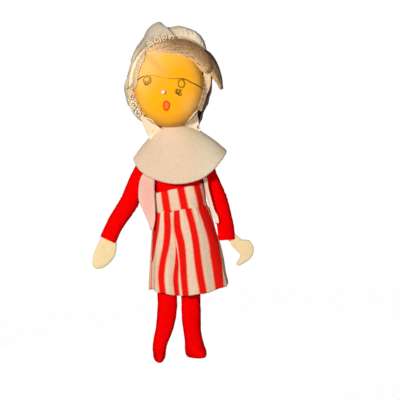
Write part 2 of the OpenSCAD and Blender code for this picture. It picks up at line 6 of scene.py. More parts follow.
import bpy
import numpy as np
from mathutils import Matrix, Vector, noise
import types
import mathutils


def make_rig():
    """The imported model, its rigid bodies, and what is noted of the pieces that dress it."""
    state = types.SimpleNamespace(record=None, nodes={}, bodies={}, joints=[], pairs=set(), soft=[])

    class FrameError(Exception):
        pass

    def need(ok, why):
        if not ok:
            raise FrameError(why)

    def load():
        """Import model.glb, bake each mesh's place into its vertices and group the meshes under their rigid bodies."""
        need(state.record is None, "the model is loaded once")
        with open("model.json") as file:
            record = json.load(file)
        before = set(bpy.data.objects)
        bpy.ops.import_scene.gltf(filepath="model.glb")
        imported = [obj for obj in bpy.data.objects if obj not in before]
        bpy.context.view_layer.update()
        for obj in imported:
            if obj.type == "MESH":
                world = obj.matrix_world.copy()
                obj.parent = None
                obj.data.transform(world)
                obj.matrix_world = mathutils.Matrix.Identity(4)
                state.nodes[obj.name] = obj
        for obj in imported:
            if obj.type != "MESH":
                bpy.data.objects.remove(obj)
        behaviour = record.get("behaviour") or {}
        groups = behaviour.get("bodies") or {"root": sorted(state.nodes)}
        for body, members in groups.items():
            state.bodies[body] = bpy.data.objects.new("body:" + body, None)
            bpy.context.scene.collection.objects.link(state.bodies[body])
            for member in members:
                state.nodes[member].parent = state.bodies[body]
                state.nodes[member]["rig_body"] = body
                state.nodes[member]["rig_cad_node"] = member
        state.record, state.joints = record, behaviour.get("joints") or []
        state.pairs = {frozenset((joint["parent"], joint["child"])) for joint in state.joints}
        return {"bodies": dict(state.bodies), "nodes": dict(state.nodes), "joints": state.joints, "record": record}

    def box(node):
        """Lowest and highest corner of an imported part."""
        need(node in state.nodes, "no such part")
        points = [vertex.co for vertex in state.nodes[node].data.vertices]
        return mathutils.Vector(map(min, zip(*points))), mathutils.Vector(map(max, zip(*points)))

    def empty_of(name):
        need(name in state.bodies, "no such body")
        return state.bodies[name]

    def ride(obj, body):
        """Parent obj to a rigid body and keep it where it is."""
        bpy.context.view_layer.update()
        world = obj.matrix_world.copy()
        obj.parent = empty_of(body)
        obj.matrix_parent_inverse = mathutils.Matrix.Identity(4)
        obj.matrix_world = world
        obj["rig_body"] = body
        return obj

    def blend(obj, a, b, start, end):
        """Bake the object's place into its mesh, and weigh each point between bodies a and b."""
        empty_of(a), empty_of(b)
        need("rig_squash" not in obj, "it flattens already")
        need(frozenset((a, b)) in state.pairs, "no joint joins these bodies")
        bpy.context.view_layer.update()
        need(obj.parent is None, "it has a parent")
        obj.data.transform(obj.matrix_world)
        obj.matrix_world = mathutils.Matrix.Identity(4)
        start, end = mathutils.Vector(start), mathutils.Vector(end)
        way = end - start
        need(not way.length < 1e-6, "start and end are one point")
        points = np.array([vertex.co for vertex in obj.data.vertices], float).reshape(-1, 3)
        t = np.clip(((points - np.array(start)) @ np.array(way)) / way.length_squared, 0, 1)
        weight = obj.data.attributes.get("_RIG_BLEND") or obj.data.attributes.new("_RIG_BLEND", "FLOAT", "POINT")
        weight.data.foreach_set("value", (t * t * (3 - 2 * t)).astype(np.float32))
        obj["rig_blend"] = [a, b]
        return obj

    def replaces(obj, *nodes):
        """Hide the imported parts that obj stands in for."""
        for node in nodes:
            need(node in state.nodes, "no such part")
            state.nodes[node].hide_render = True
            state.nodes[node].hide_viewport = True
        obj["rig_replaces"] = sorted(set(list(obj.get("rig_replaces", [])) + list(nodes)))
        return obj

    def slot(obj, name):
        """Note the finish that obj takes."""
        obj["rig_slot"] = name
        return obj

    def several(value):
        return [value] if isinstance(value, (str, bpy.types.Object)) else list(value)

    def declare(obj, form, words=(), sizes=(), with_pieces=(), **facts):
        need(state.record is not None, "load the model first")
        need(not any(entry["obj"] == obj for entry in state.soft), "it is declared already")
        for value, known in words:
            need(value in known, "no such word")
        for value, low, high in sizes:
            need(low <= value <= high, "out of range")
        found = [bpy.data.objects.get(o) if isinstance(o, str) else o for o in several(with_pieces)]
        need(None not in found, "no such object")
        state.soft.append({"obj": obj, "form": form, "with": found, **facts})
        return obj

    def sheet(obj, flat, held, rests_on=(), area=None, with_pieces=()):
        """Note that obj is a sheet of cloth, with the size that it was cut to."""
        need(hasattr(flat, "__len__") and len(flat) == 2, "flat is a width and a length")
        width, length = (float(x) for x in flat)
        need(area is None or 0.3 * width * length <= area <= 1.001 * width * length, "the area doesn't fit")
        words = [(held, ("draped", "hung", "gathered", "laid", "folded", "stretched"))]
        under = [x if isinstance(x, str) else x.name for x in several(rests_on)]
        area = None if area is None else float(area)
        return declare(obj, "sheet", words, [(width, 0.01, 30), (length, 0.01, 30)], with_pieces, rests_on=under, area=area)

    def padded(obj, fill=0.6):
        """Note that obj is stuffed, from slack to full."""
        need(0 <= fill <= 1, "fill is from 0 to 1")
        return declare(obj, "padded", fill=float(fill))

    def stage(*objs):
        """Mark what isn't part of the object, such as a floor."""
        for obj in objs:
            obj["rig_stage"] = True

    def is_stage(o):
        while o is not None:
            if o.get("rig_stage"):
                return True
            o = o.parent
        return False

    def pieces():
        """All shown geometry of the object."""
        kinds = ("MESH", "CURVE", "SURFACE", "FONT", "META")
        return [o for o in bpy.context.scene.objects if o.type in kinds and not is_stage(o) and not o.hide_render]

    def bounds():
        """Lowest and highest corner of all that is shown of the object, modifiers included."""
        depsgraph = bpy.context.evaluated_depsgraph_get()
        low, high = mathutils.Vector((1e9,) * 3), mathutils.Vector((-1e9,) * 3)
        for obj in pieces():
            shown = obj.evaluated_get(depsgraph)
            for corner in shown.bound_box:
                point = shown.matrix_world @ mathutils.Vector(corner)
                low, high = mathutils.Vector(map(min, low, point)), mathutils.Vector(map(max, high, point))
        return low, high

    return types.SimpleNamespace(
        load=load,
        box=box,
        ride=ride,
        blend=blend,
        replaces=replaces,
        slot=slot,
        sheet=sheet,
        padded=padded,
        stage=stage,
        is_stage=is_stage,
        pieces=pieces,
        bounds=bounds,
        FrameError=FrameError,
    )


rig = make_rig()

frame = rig.load()
CAD_BOX = [[float(x) for x in c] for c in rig.bounds()]
_lo, _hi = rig.box("spine_stick")
SH = np.array([(_lo.x + _hi.x) * 500, (_lo.y + _hi.y) * 500, _lo.z * 1000 - 91.5])
SC = bpy.context.scene
rng = random.Random(7)


# ------------------------------------------------------------------ helpers
def lin(r, g, b):
    def f(c):
        c = c / 255.0
        return c / 12.92 if c <= 0.04045 else ((c + 0.055) / 1.055) ** 2.4
    return (f(r), f(g), f(b), 1.0)


def m(P):
    return (np.asarray(P, float).reshape(-1, 3) + SH) / 1000.0


def mv(p):
    return tuple(float(x) for x in m(p)[0])


def nz(x, y, z, s=1.0, seed=0.0):
    return noise.noise(Vector((x * s + seed, y * s - seed * 0.7, z * s + seed * 0.3)))


def squircle(a, p=2.7):
    """cosine and sine bent so that a section is flatter in front and behind"""
    c, s = np.cos(a), np.sin(a)
    return np.sign(c) * np.abs(c) ** (2 / p), np.sign(s) * np.abs(s) ** (2 / p)


def sm(a, b, x):
    t = np.clip((np.asarray(x, float) - a) / (b - a), 0, 1)
    return t * t * (3 - 2 * t)


def crp(P, s):
    P = np.asarray(P, float)
    if P.ndim == 1:
        P = P[:, None]
    n = len(P) - 1
    s = np.clip(np.asarray(s, float), 0, 1) * n
    i = np.minimum(s.astype(int), n - 1)
    t = (s - i)[:, None]
    p0, p1, p2, p3 = P[np.maximum(i - 1, 0)], P[i], P[i + 1], P[np.minimum(i + 2, n)]
    return 0.5 * ((2 * p1) + (p2 - p0) * t + (2 * p0 - 5 * p1 + 4 * p2 - p3) * t * t
                  + (3 * p1 - p0 - 3 * p2 + p3) * t ** 3)


def smooth_line(P, n):
    """n points evenly spaced along the smooth curve through P"""
    C = crp(P, np.linspace(0, 1, 40 * len(P)))
    d = np.r_[0, np.cumsum(np.linalg.norm(np.diff(C[:, :3], axis=0), axis=1))]
    u = np.linspace(0, d[-1], n)
    return np.stack([np.interp(u, d, C[:, k]) for k in range(C.shape[1])], 1)


def closed_line(P, n):
    P = np.asarray(P, float)
    k = len(P)
    out = []
    for i in range(k):
        p0, p1, p2, p3 = P[(i - 1) % k], P[i], P[(i + 1) % k], P[(i + 2) % k]
        for t in np.linspace(0, 1, 12, endpoint=False):
            out.append(0.5 * ((2 * p1) + (p2 - p0) * t + (2 * p0 - 5 * p1 + 4 * p2 - p3) * t * t
                              + (3 * p1 - p0 - 3 * p2 + p3) * t ** 3))
    C = np.array(out + [out[0]])
    d = np.r_[0, np.cumsum(np.linalg.norm(np.diff(C, axis=0), axis=1))]
    u = np.linspace(0, d[-1], n, endpoint=False)
    return np.stack([np.interp(u, d, C[:, j]) for j in range(C.shape[1])], 1)


def build(name, V, F, mats, uv=None, tint=None, vnormals=None, recalc=True, fmat=None):
    me = bpy.data.meshes.new(name)
    me.from_pydata(m(V).tolist(), [], [tuple(int(i) for i in f) for f in F])
    me.update()
    if recalc:
        import bmesh
        bm = bmesh.new()
        bm.from_mesh(me)
        bmesh.ops.recalc_face_normals(bm, faces=bm.faces)
        bm.to_mesh(me)
        bm.free()
    me.polygons.foreach_set("use_smooth", [True] * len(me.polygons))
    loops = np.empty(len(me.loops), int)
    me.loops.foreach_get("vertex_index", loops)
    if uv is not None:
        layer = me.uv_layers.new(name="cloth")
        layer.data.foreach_set("uv", np.asarray(uv, float)[loops].ravel())
    if tint is not None:
        a = me.attributes.new("tint", "FLOAT_COLOR", "POINT")
        t = np.asarray(tint, float)
        if t.ndim == 1:
            t = np.stack([t, t, t], 1)
        t = np.c_[t[:, :3], np.ones(len(t))]
        a.data.foreach_set("color", t.ravel())
    for mt in (mats if isinstance(mats, (list, tuple)) else [mats]):
        me.materials.append(mt)
    if fmat is not None:
        me.polygons.foreach_set("material_index", fmat)
    o = bpy.data.objects.new(name, me)
    SC.collection.objects.link(o)
    if vnormals is not None:
        me.normals_split_custom_set_from_vertices([tuple(v) for v in vnormals])
    return o


def grid_faces(R, C, close=False, base=0):
    F = []
    for i in range(R - 1):
        for j in range(C if close else C - 1):
            k = (j + 1) % C
            F.append((base + i * C + j, base + i * C + k, base + (i + 1) * C + k, base + (i + 1) * C + j))
    return F


def grid_normals(P, close=False):
    if close:
        dj = np.roll(P, -1, 1) - np.roll(P, 1, 1)
    else:
        dj = np.gradient(P, axis=1)
    di = np.gradient(P, axis=0)
    n = np.cross(dj, di)
    return n / np.maximum(np.linalg.norm(n, axis=2, keepdims=True), 1e-9)


def thick(P, t, close=False, flip=False, side=1.0, round_edge=0.35):
    """closed skin: the grid P is its outer face; returns V, F, and the source index of each vertex"""
    R, C = P.shape[:2]
    n = grid_normals(P, close) * (-1 if flip else 1)
    tt = t if np.ndim(t) else np.full((R, C), float(t))
    Q = P - n * tt[..., None] * side
    V = [P.reshape(-1, 3), Q.reshape(-1, 3)]
    src = [np.arange(R * C), np.arange(R * C)]
    F = grid_faces(R, C, close)
    F += [tuple(reversed(f)) for f in grid_faces(R, C, close, R * C)]
    # edge loop
    if close:
        loops = [([(0, j) for j in range(C)], [(1, j) for j in range(C)]),
                 ([(R - 1, j) for j in range(C)], [(R - 2, j) for j in range(C)])]
    else:
        e = ([(0, j) for j in range(C)] + [(i, C - 1) for i in range(1, R)]
             + [(R - 1, j) for j in range(C - 2, -1, -1)] + [(i, 0) for i in range(R - 2, 0, -1)])
        inn = [(min(max(i, 1), R - 2), min(max(j, 1), C - 2)) for i, j in e]
        loops = [(e, inn)]
    count = 2 * R * C
    for e, inn in loops:
        mid = []
        for (i, j), (a, b) in zip(e, inn):
            c = (P[i, j] + Q[i, j]) / 2
            o = P[i, j] - P[a, b]
            o = o / max(np.linalg.norm(o), 1e-9)
            mid.append(c + o * tt[i, j] * round_edge)
        V.append(np.array(mid))
        src.append(np.array([i * C + j for i, j in e]))
        k = len(e)
        for a in range(k):
            b = (a + 1) % k
            pa, pb = e[a][0] * C + e[a][1], e[b][0] * C + e[b][1]
            F.append((pa, pb, count + b, count + a))
            F.append((count + a, count + b, R * C + pb, R * C + pa))
        count += k
    return np.concatenate(V), F, np.concatenate(src)


def sweep_frames(C, ref):
    T = np.gradient(C, axis=0)
    T /= np.maximum(np.linalg.norm(T, axis=1, keepdims=True), 1e-9)
    ref = np.asarray(ref, float)
    if ref.ndim == 1:
        ref = np.tile(ref, (len(C), 1))
    U = ref - T * (ref * T).sum(1, keepdims=True)
    U /= np.maximum(np.linalg.norm(U, axis=1, keepdims=True), 1e-9)
    return T, U, np.cross(T, U)


def sweep(C, A, B, ref, sides=8, cap=True):
    n = len(C)
    A = np.broadcast_to(np.asarray(A, float), (n,))
    B = np.broadcast_to(np.asarray(B, float), (n,))
    T, U, W = sweep_frames(C, ref)
    a = np.arange(sides) * 2 * math.pi / sides
    G = C[:, None] + U[:, None] * (A[:, None] * np.cos(a))[..., None] + W[:, None] * (B[:, None] * np.sin(a))[..., None]
    V = G.reshape(-1, 3)
    F = grid_faces(n, sides, True)
    if cap:
        F += [tuple(range(sides - 1, -1, -1)), tuple((n - 1) * sides + k for k in range(sides))]
    return V, F


class Bag:
    def __init__(self):
        self.V, self.F, self.T, self.n = [], [], [], 0

    def add(self, V, F, t=None):
        self.V.append(np.asarray(V))
        self.F += [tuple(i + self.n for i in f) for f in F]
        t = np.zeros(3) if t is None else np.asarray(t, float)
        self.T.append(np.tile(t, (len(V), 1)) if t.ndim == 1 else t)
        self.n += len(V)

    def out(self):
        return np.concatenate(self.V), self.F, np.concatenate(self.T)


def remesh(o, voxel, smooth_n=6, sub=0):
    md = o.modifiers.new("r", "REMESH")
    md.mode = "VOXEL"
    md.voxel_size = voxel
    md.use_smooth_shade = True
    s = o.modifiers.new("s", "SMOOTH")
    s.factor = 0.5
    s.iterations = smooth_n
    if sub:
        o.modifiers.new("u", "SUBSURF").levels = sub
    dg = bpy.context.evaluated_depsgraph_get()
    me = bpy.data.meshes.new_from_object(o.evaluated_get(dg))
    o.modifiers.clear()
    old = o.data
    o.data = me
    bpy.data.meshes.remove(old)
    me.polygons.foreach_set("use_smooth", [True] * len(me.polygons))
    return o


def area_of(o):
    return sum(p.area for p in o.data.polygons)


# ---------------------------------------------------------------- materials
class Mat:
    def __init__(self, name):
        self.m = bpy.data.materials.new(name)
        self.m.use_nodes = True
        self.t = self.m.node_tree
        self.t.nodes.clear()
        self.out = self.t.nodes.new("ShaderNodeOutputMaterial")
        self.b = self.t.nodes.new("ShaderNodeBsdfPrincipled")
        self.link(self.b.outputs[0], self.out.inputs[0])

    def link(self, a, b):
        self.t.links.new(a, b)

    def node(self, kind, **k):
        n = self.t.nodes.new(kind)
        for a, v in k.items():
            if a.startswith("in_"):
                n.inputs[a[3:].replace("_", " ")].default_value = v
            else:
                setattr(n, a, v)
        return n

    def obj(self, scale=(1, 1, 1)):
        c = self.node("ShaderNodeTexCoord")
        mp = self.node("ShaderNodeMapping")
        mp.inputs["Scale"].default_value = scale
        self.link(c.outputs["Object"], mp.inputs[0])
        return mp.outputs[0]

    def noise(self, vec, scale, detail=4.0, rough=0.6, distort=0.0):
        n = self.node("ShaderNodeTexNoise")
        n.inputs["Scale"].default_value = scale
        n.inputs["Detail"].default_value = detail
        n.inputs["Roughness"].default_value = rough
        n.inputs["Distortion"].default_value = distort
        self.link(vec, n.inputs["Vector"])
        return n.outputs["Fac"]

    def ramp(self, fac, stops):
        r = self.node("ShaderNodeValToRGB")
        e = r.color_ramp.elements
        while len(e) < len(stops):
            e.new(0.5)
        for k, (p, c) in zip(e, stops):
            k.position = p
            k.color = c
        self.link(fac, r.inputs[0])
        return r.outputs[0]

    def mix(self, a, b, fac, blend="MIX"):
        n = self.node("ShaderNodeMix", data_type="RGBA", blend_type=blend)
        for sock, v in ((n.inputs[0], fac), (n.inputs[6], a), (n.inputs[7], b)):
            if hasattr(v, "links") or hasattr(v, "is_linked"):
                self.link(v, sock)
            else:
                sock.default_value = v
        return n.outputs[2]

    def math(self, op, a, b=0.0, c=0.0, clamp=False):
        n = self.node("ShaderNodeMath", operation=op, use_clamp=clamp)
        for sock, v in zip(n.inputs, (a, b, c)):
            if hasattr(v, "is_linked"):
                self.link(v, sock)
            else:
                sock.default_value = v
        return n.outputs[0]

    def bump(self, height, strength, dist):
        n = self.node("ShaderNodeBump")
        n.inputs["Strength"].default_value = strength
        n.inputs["Distance"].default_value = dist
        self.link(height, n.inputs["Height"])
        self.link(n.outputs[0], self.b.inputs["Normal"])

    def set(self, **k):
        for a, v in k.items():
            self.b.inputs[a.replace("_", " ")].default_value = v

    def attr(self, name="tint"):
        n = self.node("ShaderNodeAttribute", attribute_name=name)
        return n.outputs["Color"]


def scale_col(c, k):
    return tuple(min(1.0, x * k) for x in c[:3]) + (1.0,)


def felt(name, col, dark=0.72, light=1.12, sheen=0.0, use_tint=False, spec=0.12, bump=0.45, big=0.5, tint_sheen=None):
    """matted fibre: soft blotches, short tangled fibres, a faint nap"""
    M = Mat(name)
    v = M.obj()
    n1 = M.noise(v, 130, 3, 0.55, 0.4)
    n2 = M.noise(v, 900, 6, 0.7, 1.6)
    n3 = M.noise(v, 2600, 3, 0.6, 2.5)
    base = M.attr() if use_tint else None
    f = M.math("ADD", M.math("MULTIPLY", n1, big), M.math("MULTIPLY", n2, 1 - big))
    if base is None:
        c = M.ramp(f, [(0.28, scale_col(col, dark)), (0.5, col), (0.72, scale_col(col, light))])
    else:
        k = M.ramp(f, [(0.28, (dark, dark, dark, 1)), (0.5, (1, 1, 1, 1))])
        c = M.mix(base, k, 1.0, "MULTIPLY")
    M.link(c, M.b.inputs["Base Color"])
    M.set(Roughness=0.95, Specular_IOR_Level=spec)
    if sheen:
        M.set(Sheen_Weight=sheen, Sheen_Roughness=0.5)
        M.b.inputs["Sheen Tint"].default_value = tint_sheen or scale_col(col, 1.3)
    M.bump(M.math("ADD", M.math("MULTIPLY", n2, 0.65), M.math("MULTIPLY", n3, 0.35)), bump, 0.0006)
    return M.m


RED = lin(236, 6, 6)
m_red = felt("felt_red", (0.80, 0.0006, 0.0012, 1), dark=0.80, light=1.08, spec=0.0, sheen=0.0, bump=0.35)
m_collar = felt("felt_collar", lin(224, 204, 176), dark=0.66, light=1.05, use_tint=True, bump=0.6, big=0.12)
m_pink = felt("felt_pink", lin(236, 182, 160), dark=0.8, light=1.05, use_tint=True, bump=0.4, big=0.3)
m_face = felt("felt_face", lin(252, 177, 17), dark=0.93, light=1.02, use_tint=True, bump=0.25, big=0.75, spec=0.15)
m_hand = felt("felt_hand", lin(230, 206, 158), dark=0.86, light=1.05, bump=0.3, big=0.3)
m_mouth = felt("felt_mouth", lin(250, 100, 25), dark=0.9, light=1.05, use_tint=True, bump=0.3)
m_batting = felt("batting", lin(244, 240, 228), dark=0.85, light=1.05, bump=0.8)


def make_stripes():
    M = Mat("striped_cotton")
    uv = M.node("ShaderNodeUVMap", uv_map="cloth")
    sp = M.node("ShaderNodeSeparateXYZ")
    M.link(uv.outputs[0], sp.inputs[0])
    wob = M.noise(uv.outputs[0], 7.0, 5, 0.6)
    q = M.math("ADD", sp.outputs[0], M.math("MULTIPLY", M.math("SUBTRACT", wob, 0.5), 0.035))
    # distance from the nearest red stripe's middle, in stripe repeats
    d = M.math("ABSOLUTE", M.math("SUBTRACT", M.math("FRACT", M.math("ADD", q, 100.5)), 0.5))
    col = M.ramp(d, [(0.0, lin(228, 12, 2)), (0.178, lin(232, 16, 3)), (0.205, lin(238, 112, 84)), (0.245, lin(236, 168, 144)),
                     (0.32, lin(232, 200, 172)), (0.5, lin(228, 200, 172))])
    v = M.obj()
    n2 = M.noise(v, 1100, 5, 0.7, 1.0)
    k = M.ramp(n2, [(0.3, (0.78, 0.75, 0.72, 1)), (0.62, (1.04, 1.04, 1.04, 1))])
    c = M.mix(col, k, 1.0, "MULTIPLY")
    M.link(c, M.b.inputs["Base Color"])
    M.set(Roughness=0.92, Specular_IOR_Level=0.08)
    wx = M.math("SINE", M.math("MULTIPLY", sp.outputs[0], 2 * math.pi * 20))
    wy = M.math("SINE", M.math("MULTIPLY", sp.outputs[1], 2 * math.pi * 20))
    weave = M.math("MULTIPLY", M.math("ADD", M.math("MULTIPLY", wx, wy), 1.0), 0.5)
    M.bump(M.math("ADD", M.math("MULTIPLY", weave, 0.35), M.math("MULTIPLY", n2, 0.65)), 0.4, 0.0005)
    return M.m


m_stripe = make_stripes()


def make_cotton(name, col, shade, fine=1500):
    """soft woven cotton: thread weave, random darker mottling, and a per-point tint that carries painted shade in the
    hollows of the gathers
    """
    M = Mat(name)
    v = M.obj()
    n1 = M.noise(v, 60, 4, 0.6, 0.5)
    n2 = M.noise(v, fine, 4, 0.7, 0.6)
    wv = M.node("ShaderNodeTexWave", wave_type="BANDS", bands_direction="DIAGONAL")
    wv.inputs["Scale"].default_value = 420
    wv.inputs["Distortion"].default_value = 2.0
    wv.inputs["Detail"].default_value = 2.0
    M.link(v, wv.inputs["Vector"])
    base = M.ramp(n1, [(0.33, shade), (0.62, col)])
    t = M.attr()
    c = M.mix(base, t, 1.0, "MULTIPLY")
    M.link(c, M.b.inputs["Base Color"])
    M.set(Roughness=0.85, Specular_IOR_Level=0.2)
    M.bump(M.math("ADD", M.math("MULTIPLY", n2, 0.6), M.math("MULTIPLY", wv.outputs["Fac"], 0.3)), 0.35, 0.0004)
    return M.m


m_cap = make_cotton("cap_cotton", lin(222, 208, 184), lin(202, 184, 156))
m_lace = make_cotton("lace_edging", lin(236, 214, 180), lin(224, 192, 150), 2200)
m_tie = make_cotton("cap_ribbon", lin(250, 238, 220), lin(244, 226, 202), 2600)
m_bow = make_cotton("bow_ribbon", lin(240, 214, 194), lin(228, 190, 168), 2200)


def make_hair():
    M = Mat("hair_fibre")
    v = M.obj((1, 1, 1))
    n = M.noise(v, 700, 4, 0.6, 0.4)
    k = M.ramp(n, [(0.3, (0.78, 0.76, 0.74, 1)), (0.6, (1.05, 1.05, 1.05, 1))])
    M.link(M.mix(M.attr(), k, 1.0, "MULTIPLY"), M.b.inputs["Base Color"])
    M.set(Roughness=0.45, Specular_IOR_Level=0.35)
    M.bump(n, 0.3, 0.0003)
    return M.m


def make_metal(name, col, rough, dark):
    M = Mat(name)
    v = M.obj()
    n = M.noise(v, 500, 4, 0.6)
    M.link(M.ramp(n, [(0.35, dark), (0.6, col)]), M.b.inputs["Base Color"])
    M.set(Metallic=1.0, Roughness=rough)
    M.bump(n, 0.15, 0.0002)
    return M


m_hair = make_hair()
m_steel = make_metal("steel_wire", lin(170, 170, 172), 0.35, lin(110, 108, 106)).m


def make_spec_wire():
    M = Mat("spectacle_wire")
    n = M.noise(M.obj(), 900, 4, 0.6)
    k = M.ramp(n, [(0.35, (0.7, 0.66, 0.6, 1)), (0.6, (1, 1, 1, 1))])
    M.link(M.mix(M.attr(), k, 1.0, "MULTIPLY"), M.b.inputs["Base Color"])
    M.set(Metallic=0.75, Roughness=0.42)
    M.bump(n, 0.1, 0.0002)
    return M.m


m_spec = make_spec_wire()


def make_thread(name, col, dark):
    M = Mat(name)
    w = M.node("ShaderNodeTexWave", wave_type="BANDS", bands_direction="DIAGONAL")
    w.inputs["Scale"].default_value = 900
    w.inputs["Distortion"].default_value = 1.0
    v = M.obj()
    M.link(v, w.inputs["Vector"])
    M.link(M.ramp(w.outputs["Fac"], [(0.2, dark), (0.8, col)]), M.b.inputs["Base Color"])
    M.set(Roughness=0.6, Specular_IOR_Level=0.3)
    M.bump(w.outputs["Fac"], 0.4, 0.0002)
    return M.m


m_black = make_thread("thread_black", lin(88, 56, 20), lin(34, 20, 8))
m_redthread = make_thread("thread_red", lin(200, 10, 8), lin(130, 4, 4))


def make_wood():
    M = Mat("birch")
    v = M.obj((1, 1, 0.06))
    n = M.noise(v, 600, 5, 0.6, 0.6)
    M.link(M.ramp(n, [(0.3, lin(196, 158, 108)), (0.5, lin(222, 188, 138)), (0.7, lin(234, 206, 160))]), M.b.inputs["Base Color"])
    M.set(Roughness=0.6)
    M.bump(n, 0.3, 0.0003)
    return M.m


m_wood = make_wood()


def make_bead():
    M = Mat("nose_bead")
    n = M.noise(M.obj(), 260, 2, 0.5)
    M.link(M.ramp(n, [(0.35, lin(236, 196, 190)), (0.65, lin(252, 228, 224))]), M.b.inputs["Base Color"])
    M.set(Roughness=0.12, Specular_IOR_Level=0.6, Coat_Weight=0.6, Coat_Roughness=0.05)
    return M.m


m_bead = make_bead()

# ------------------------------------------------------------ camera, light
cam_data = bpy.data.cameras.new("camera")
cam = bpy.data.objects.new("camera", cam_data)
SC.collection.objects.link(cam)
SC.camera = cam
cam_data.sensor_width = 36.0
DIST = 0.95
cam_data.lens = 36.0 * DIST * 1000 / 300.0
cam_data.clip_start = 0.01
cam_data.clip_end = 50
AZ, EL, ROLL = math.radians(-3.0), math.radians(3.0), math.radians(5.04)
B = Vector((math.sin(AZ) * math.cos(EL), -math.cos(AZ) * math.cos(EL), math.sin(EL)))
R0 = Vector((math.cos(AZ), math.sin(AZ), 0))
U0 = B.cross(R0)
Rv = R0 * math.cos(ROLL) - U0 * math.sin(ROLL)
Uv = R0 * math.sin(ROLL) + U0 * math.cos(ROLL)
target = Vector(mv((13.9, -8.0, 119.1)))
cam.matrix_world = Matrix.Translation(target + B * DIST) @ Matrix((Rv, Uv, B)).transposed().to_4x4()


def area_light(name, pos, size, power, color=(1, 1, 1)):
    d = bpy.data.lights.new(name, "AREA")
    d.shape = "DISK"
    d.size = size
    d.energy = power
    d.color = color
    o = bpy.data.objects.new(name, d)
    SC.collection.objects.link(o)
    o.location = pos
    tgt = Vector(mv((0, 0, 130)))
    o.rotation_euler = (tgt - Vector(pos)).to_track_quat("-Z", "Y").to_euler()
    return o


area_light("key", (-0.62, -1.18, 0.46), 0.18, 17.2, (1.0, 0.985, 0.96))
area_light("fill", (0.22, -1.27, 0.12), 0.4, 6.4, (1.0, 0.98, 0.95))
world = bpy.data.worlds.new("studio")
SC.world = world
world.use_nodes = True
world.node_tree.nodes["Background"].inputs[0].default_value = (1, 1, 1, 1)
world.node_tree.nodes["Background"].inputs[1].default_value = 0.06
SC.view_settings.view_transform = "Standard"
SC.view_settings.look = "None"


def studio():
    M = Mat("studio_white")
    n = M.noise(M.obj(), 3, 2)
    M.link(M.ramp(n, [(0.3, (0.10, 0.10, 0.10, 1)), (0.7, (0.13, 0.13, 0.13, 1))]), M.b.inputs["Base Color"])
    M.set(Roughness=0.9, Specular_IOR_Level=0.0, Emission_Strength=0.99)
    M.b.inputs["Emission Color"].default_value = (1, 1, 1, 1)
    prof = [(0.0, 0.0)] + [(r, 0.0) for r in (0.4, 0.8, 1.2, 1.6)]
    prof += [(1.6 + 0.8 * math.sin(a), 0.8 - 0.8 * math.cos(a)) for a in np.linspace(0.1, math.pi / 2, 14)]
    prof += [(2.4, 1.6), (2.4, 3.2)]
    K = 96
    V, F = [], []
    for r, z in prof[1:]:
        for k in range(K):
            a = 2 * math.pi * k / K
            V.append((r * math.cos(a), r * math.sin(a), z))
    V.append((0, 0, 0))
    F = grid_faces(len(prof) - 1, K, True)
    F += [(len(V) - 1, k, (k + 1) % K) for k in range(K)]
    me = bpy.data.meshes.new("studio_floor")
    me.from_pydata(V, [], F)
    me.polygons.foreach_set("use_smooth", [True] * len(me.polygons))
    me.materials.append(M.m)
    o = bpy.data.objects.new("studio_floor", me)
    SC.collection.objects.link(o)
    o.visible_diffuse = False
    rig.stage(o)


studio()

# ---------------------------------------------------------------- the frame
HC = np.array([-2, -1, 201.5])
HR = 25.5
LS, LE, LW = map(np.array, ([-23.5, 0, 150], [-39.5, 0, 121], [-57, -2, 95.5]))
RS, RE, RW = map(np.array, ([20.5, 0, 150], [28, 0, 118], [32.3, -1, 87.5]))
LH, LK, LA = map(np.array, ([-12.5, 0, 84], [-17.3, 0, 47.5], [-25.6, 1, 13.5]))
RH, RK, RA = map(np.array, ([5.5, 0, 84], [0.8, 0, 46.5], [0.2, 1, 13.5]))

for n, o in frame["nodes"].items():
    if n == "spine_stick":
        mat = m_wood
    elif n.endswith("_wire"):
        mat = m_steel
    elif "batting" in n or "stuffing" in n:
        mat = m_batting
    elif "thread" in n:
        mat = m_redthread
    elif n == "neck_stalk":
        mat = None
    else:
        continue
    if mat is None:
        mat = felt("felt_neck", lin(250, 178, 60), dark=0.85, light=1.05)
    o.data.materials.clear()
    o.data.materials.append(mat)


# the stuffed head is a little longer than it is wide, fullest above the eyes
EC = np.array([-2.1, -1.0, 206.0])
ERX, ERY, ERU, ERD = 26.6, 25.6, 32.5, 31.0
FLAT = 3.7                  # 2 is an ellipsoid; more is a flatter face with a fuller rim


def face_y(x, z, h=0.0):
    dx, dz = np.asarray(x, float) - EC[0], np.asarray(z, float) - EC[2]
    rz = np.where(dz > 0, ERU, ERD)
    k = 1 - np.minimum(np.hypot(dx / ERX, dz / rz), 1) ** FLAT
    return EC[1] - (ERY + h) * np.maximum(k, 0.0001) ** (1 / FLAT)


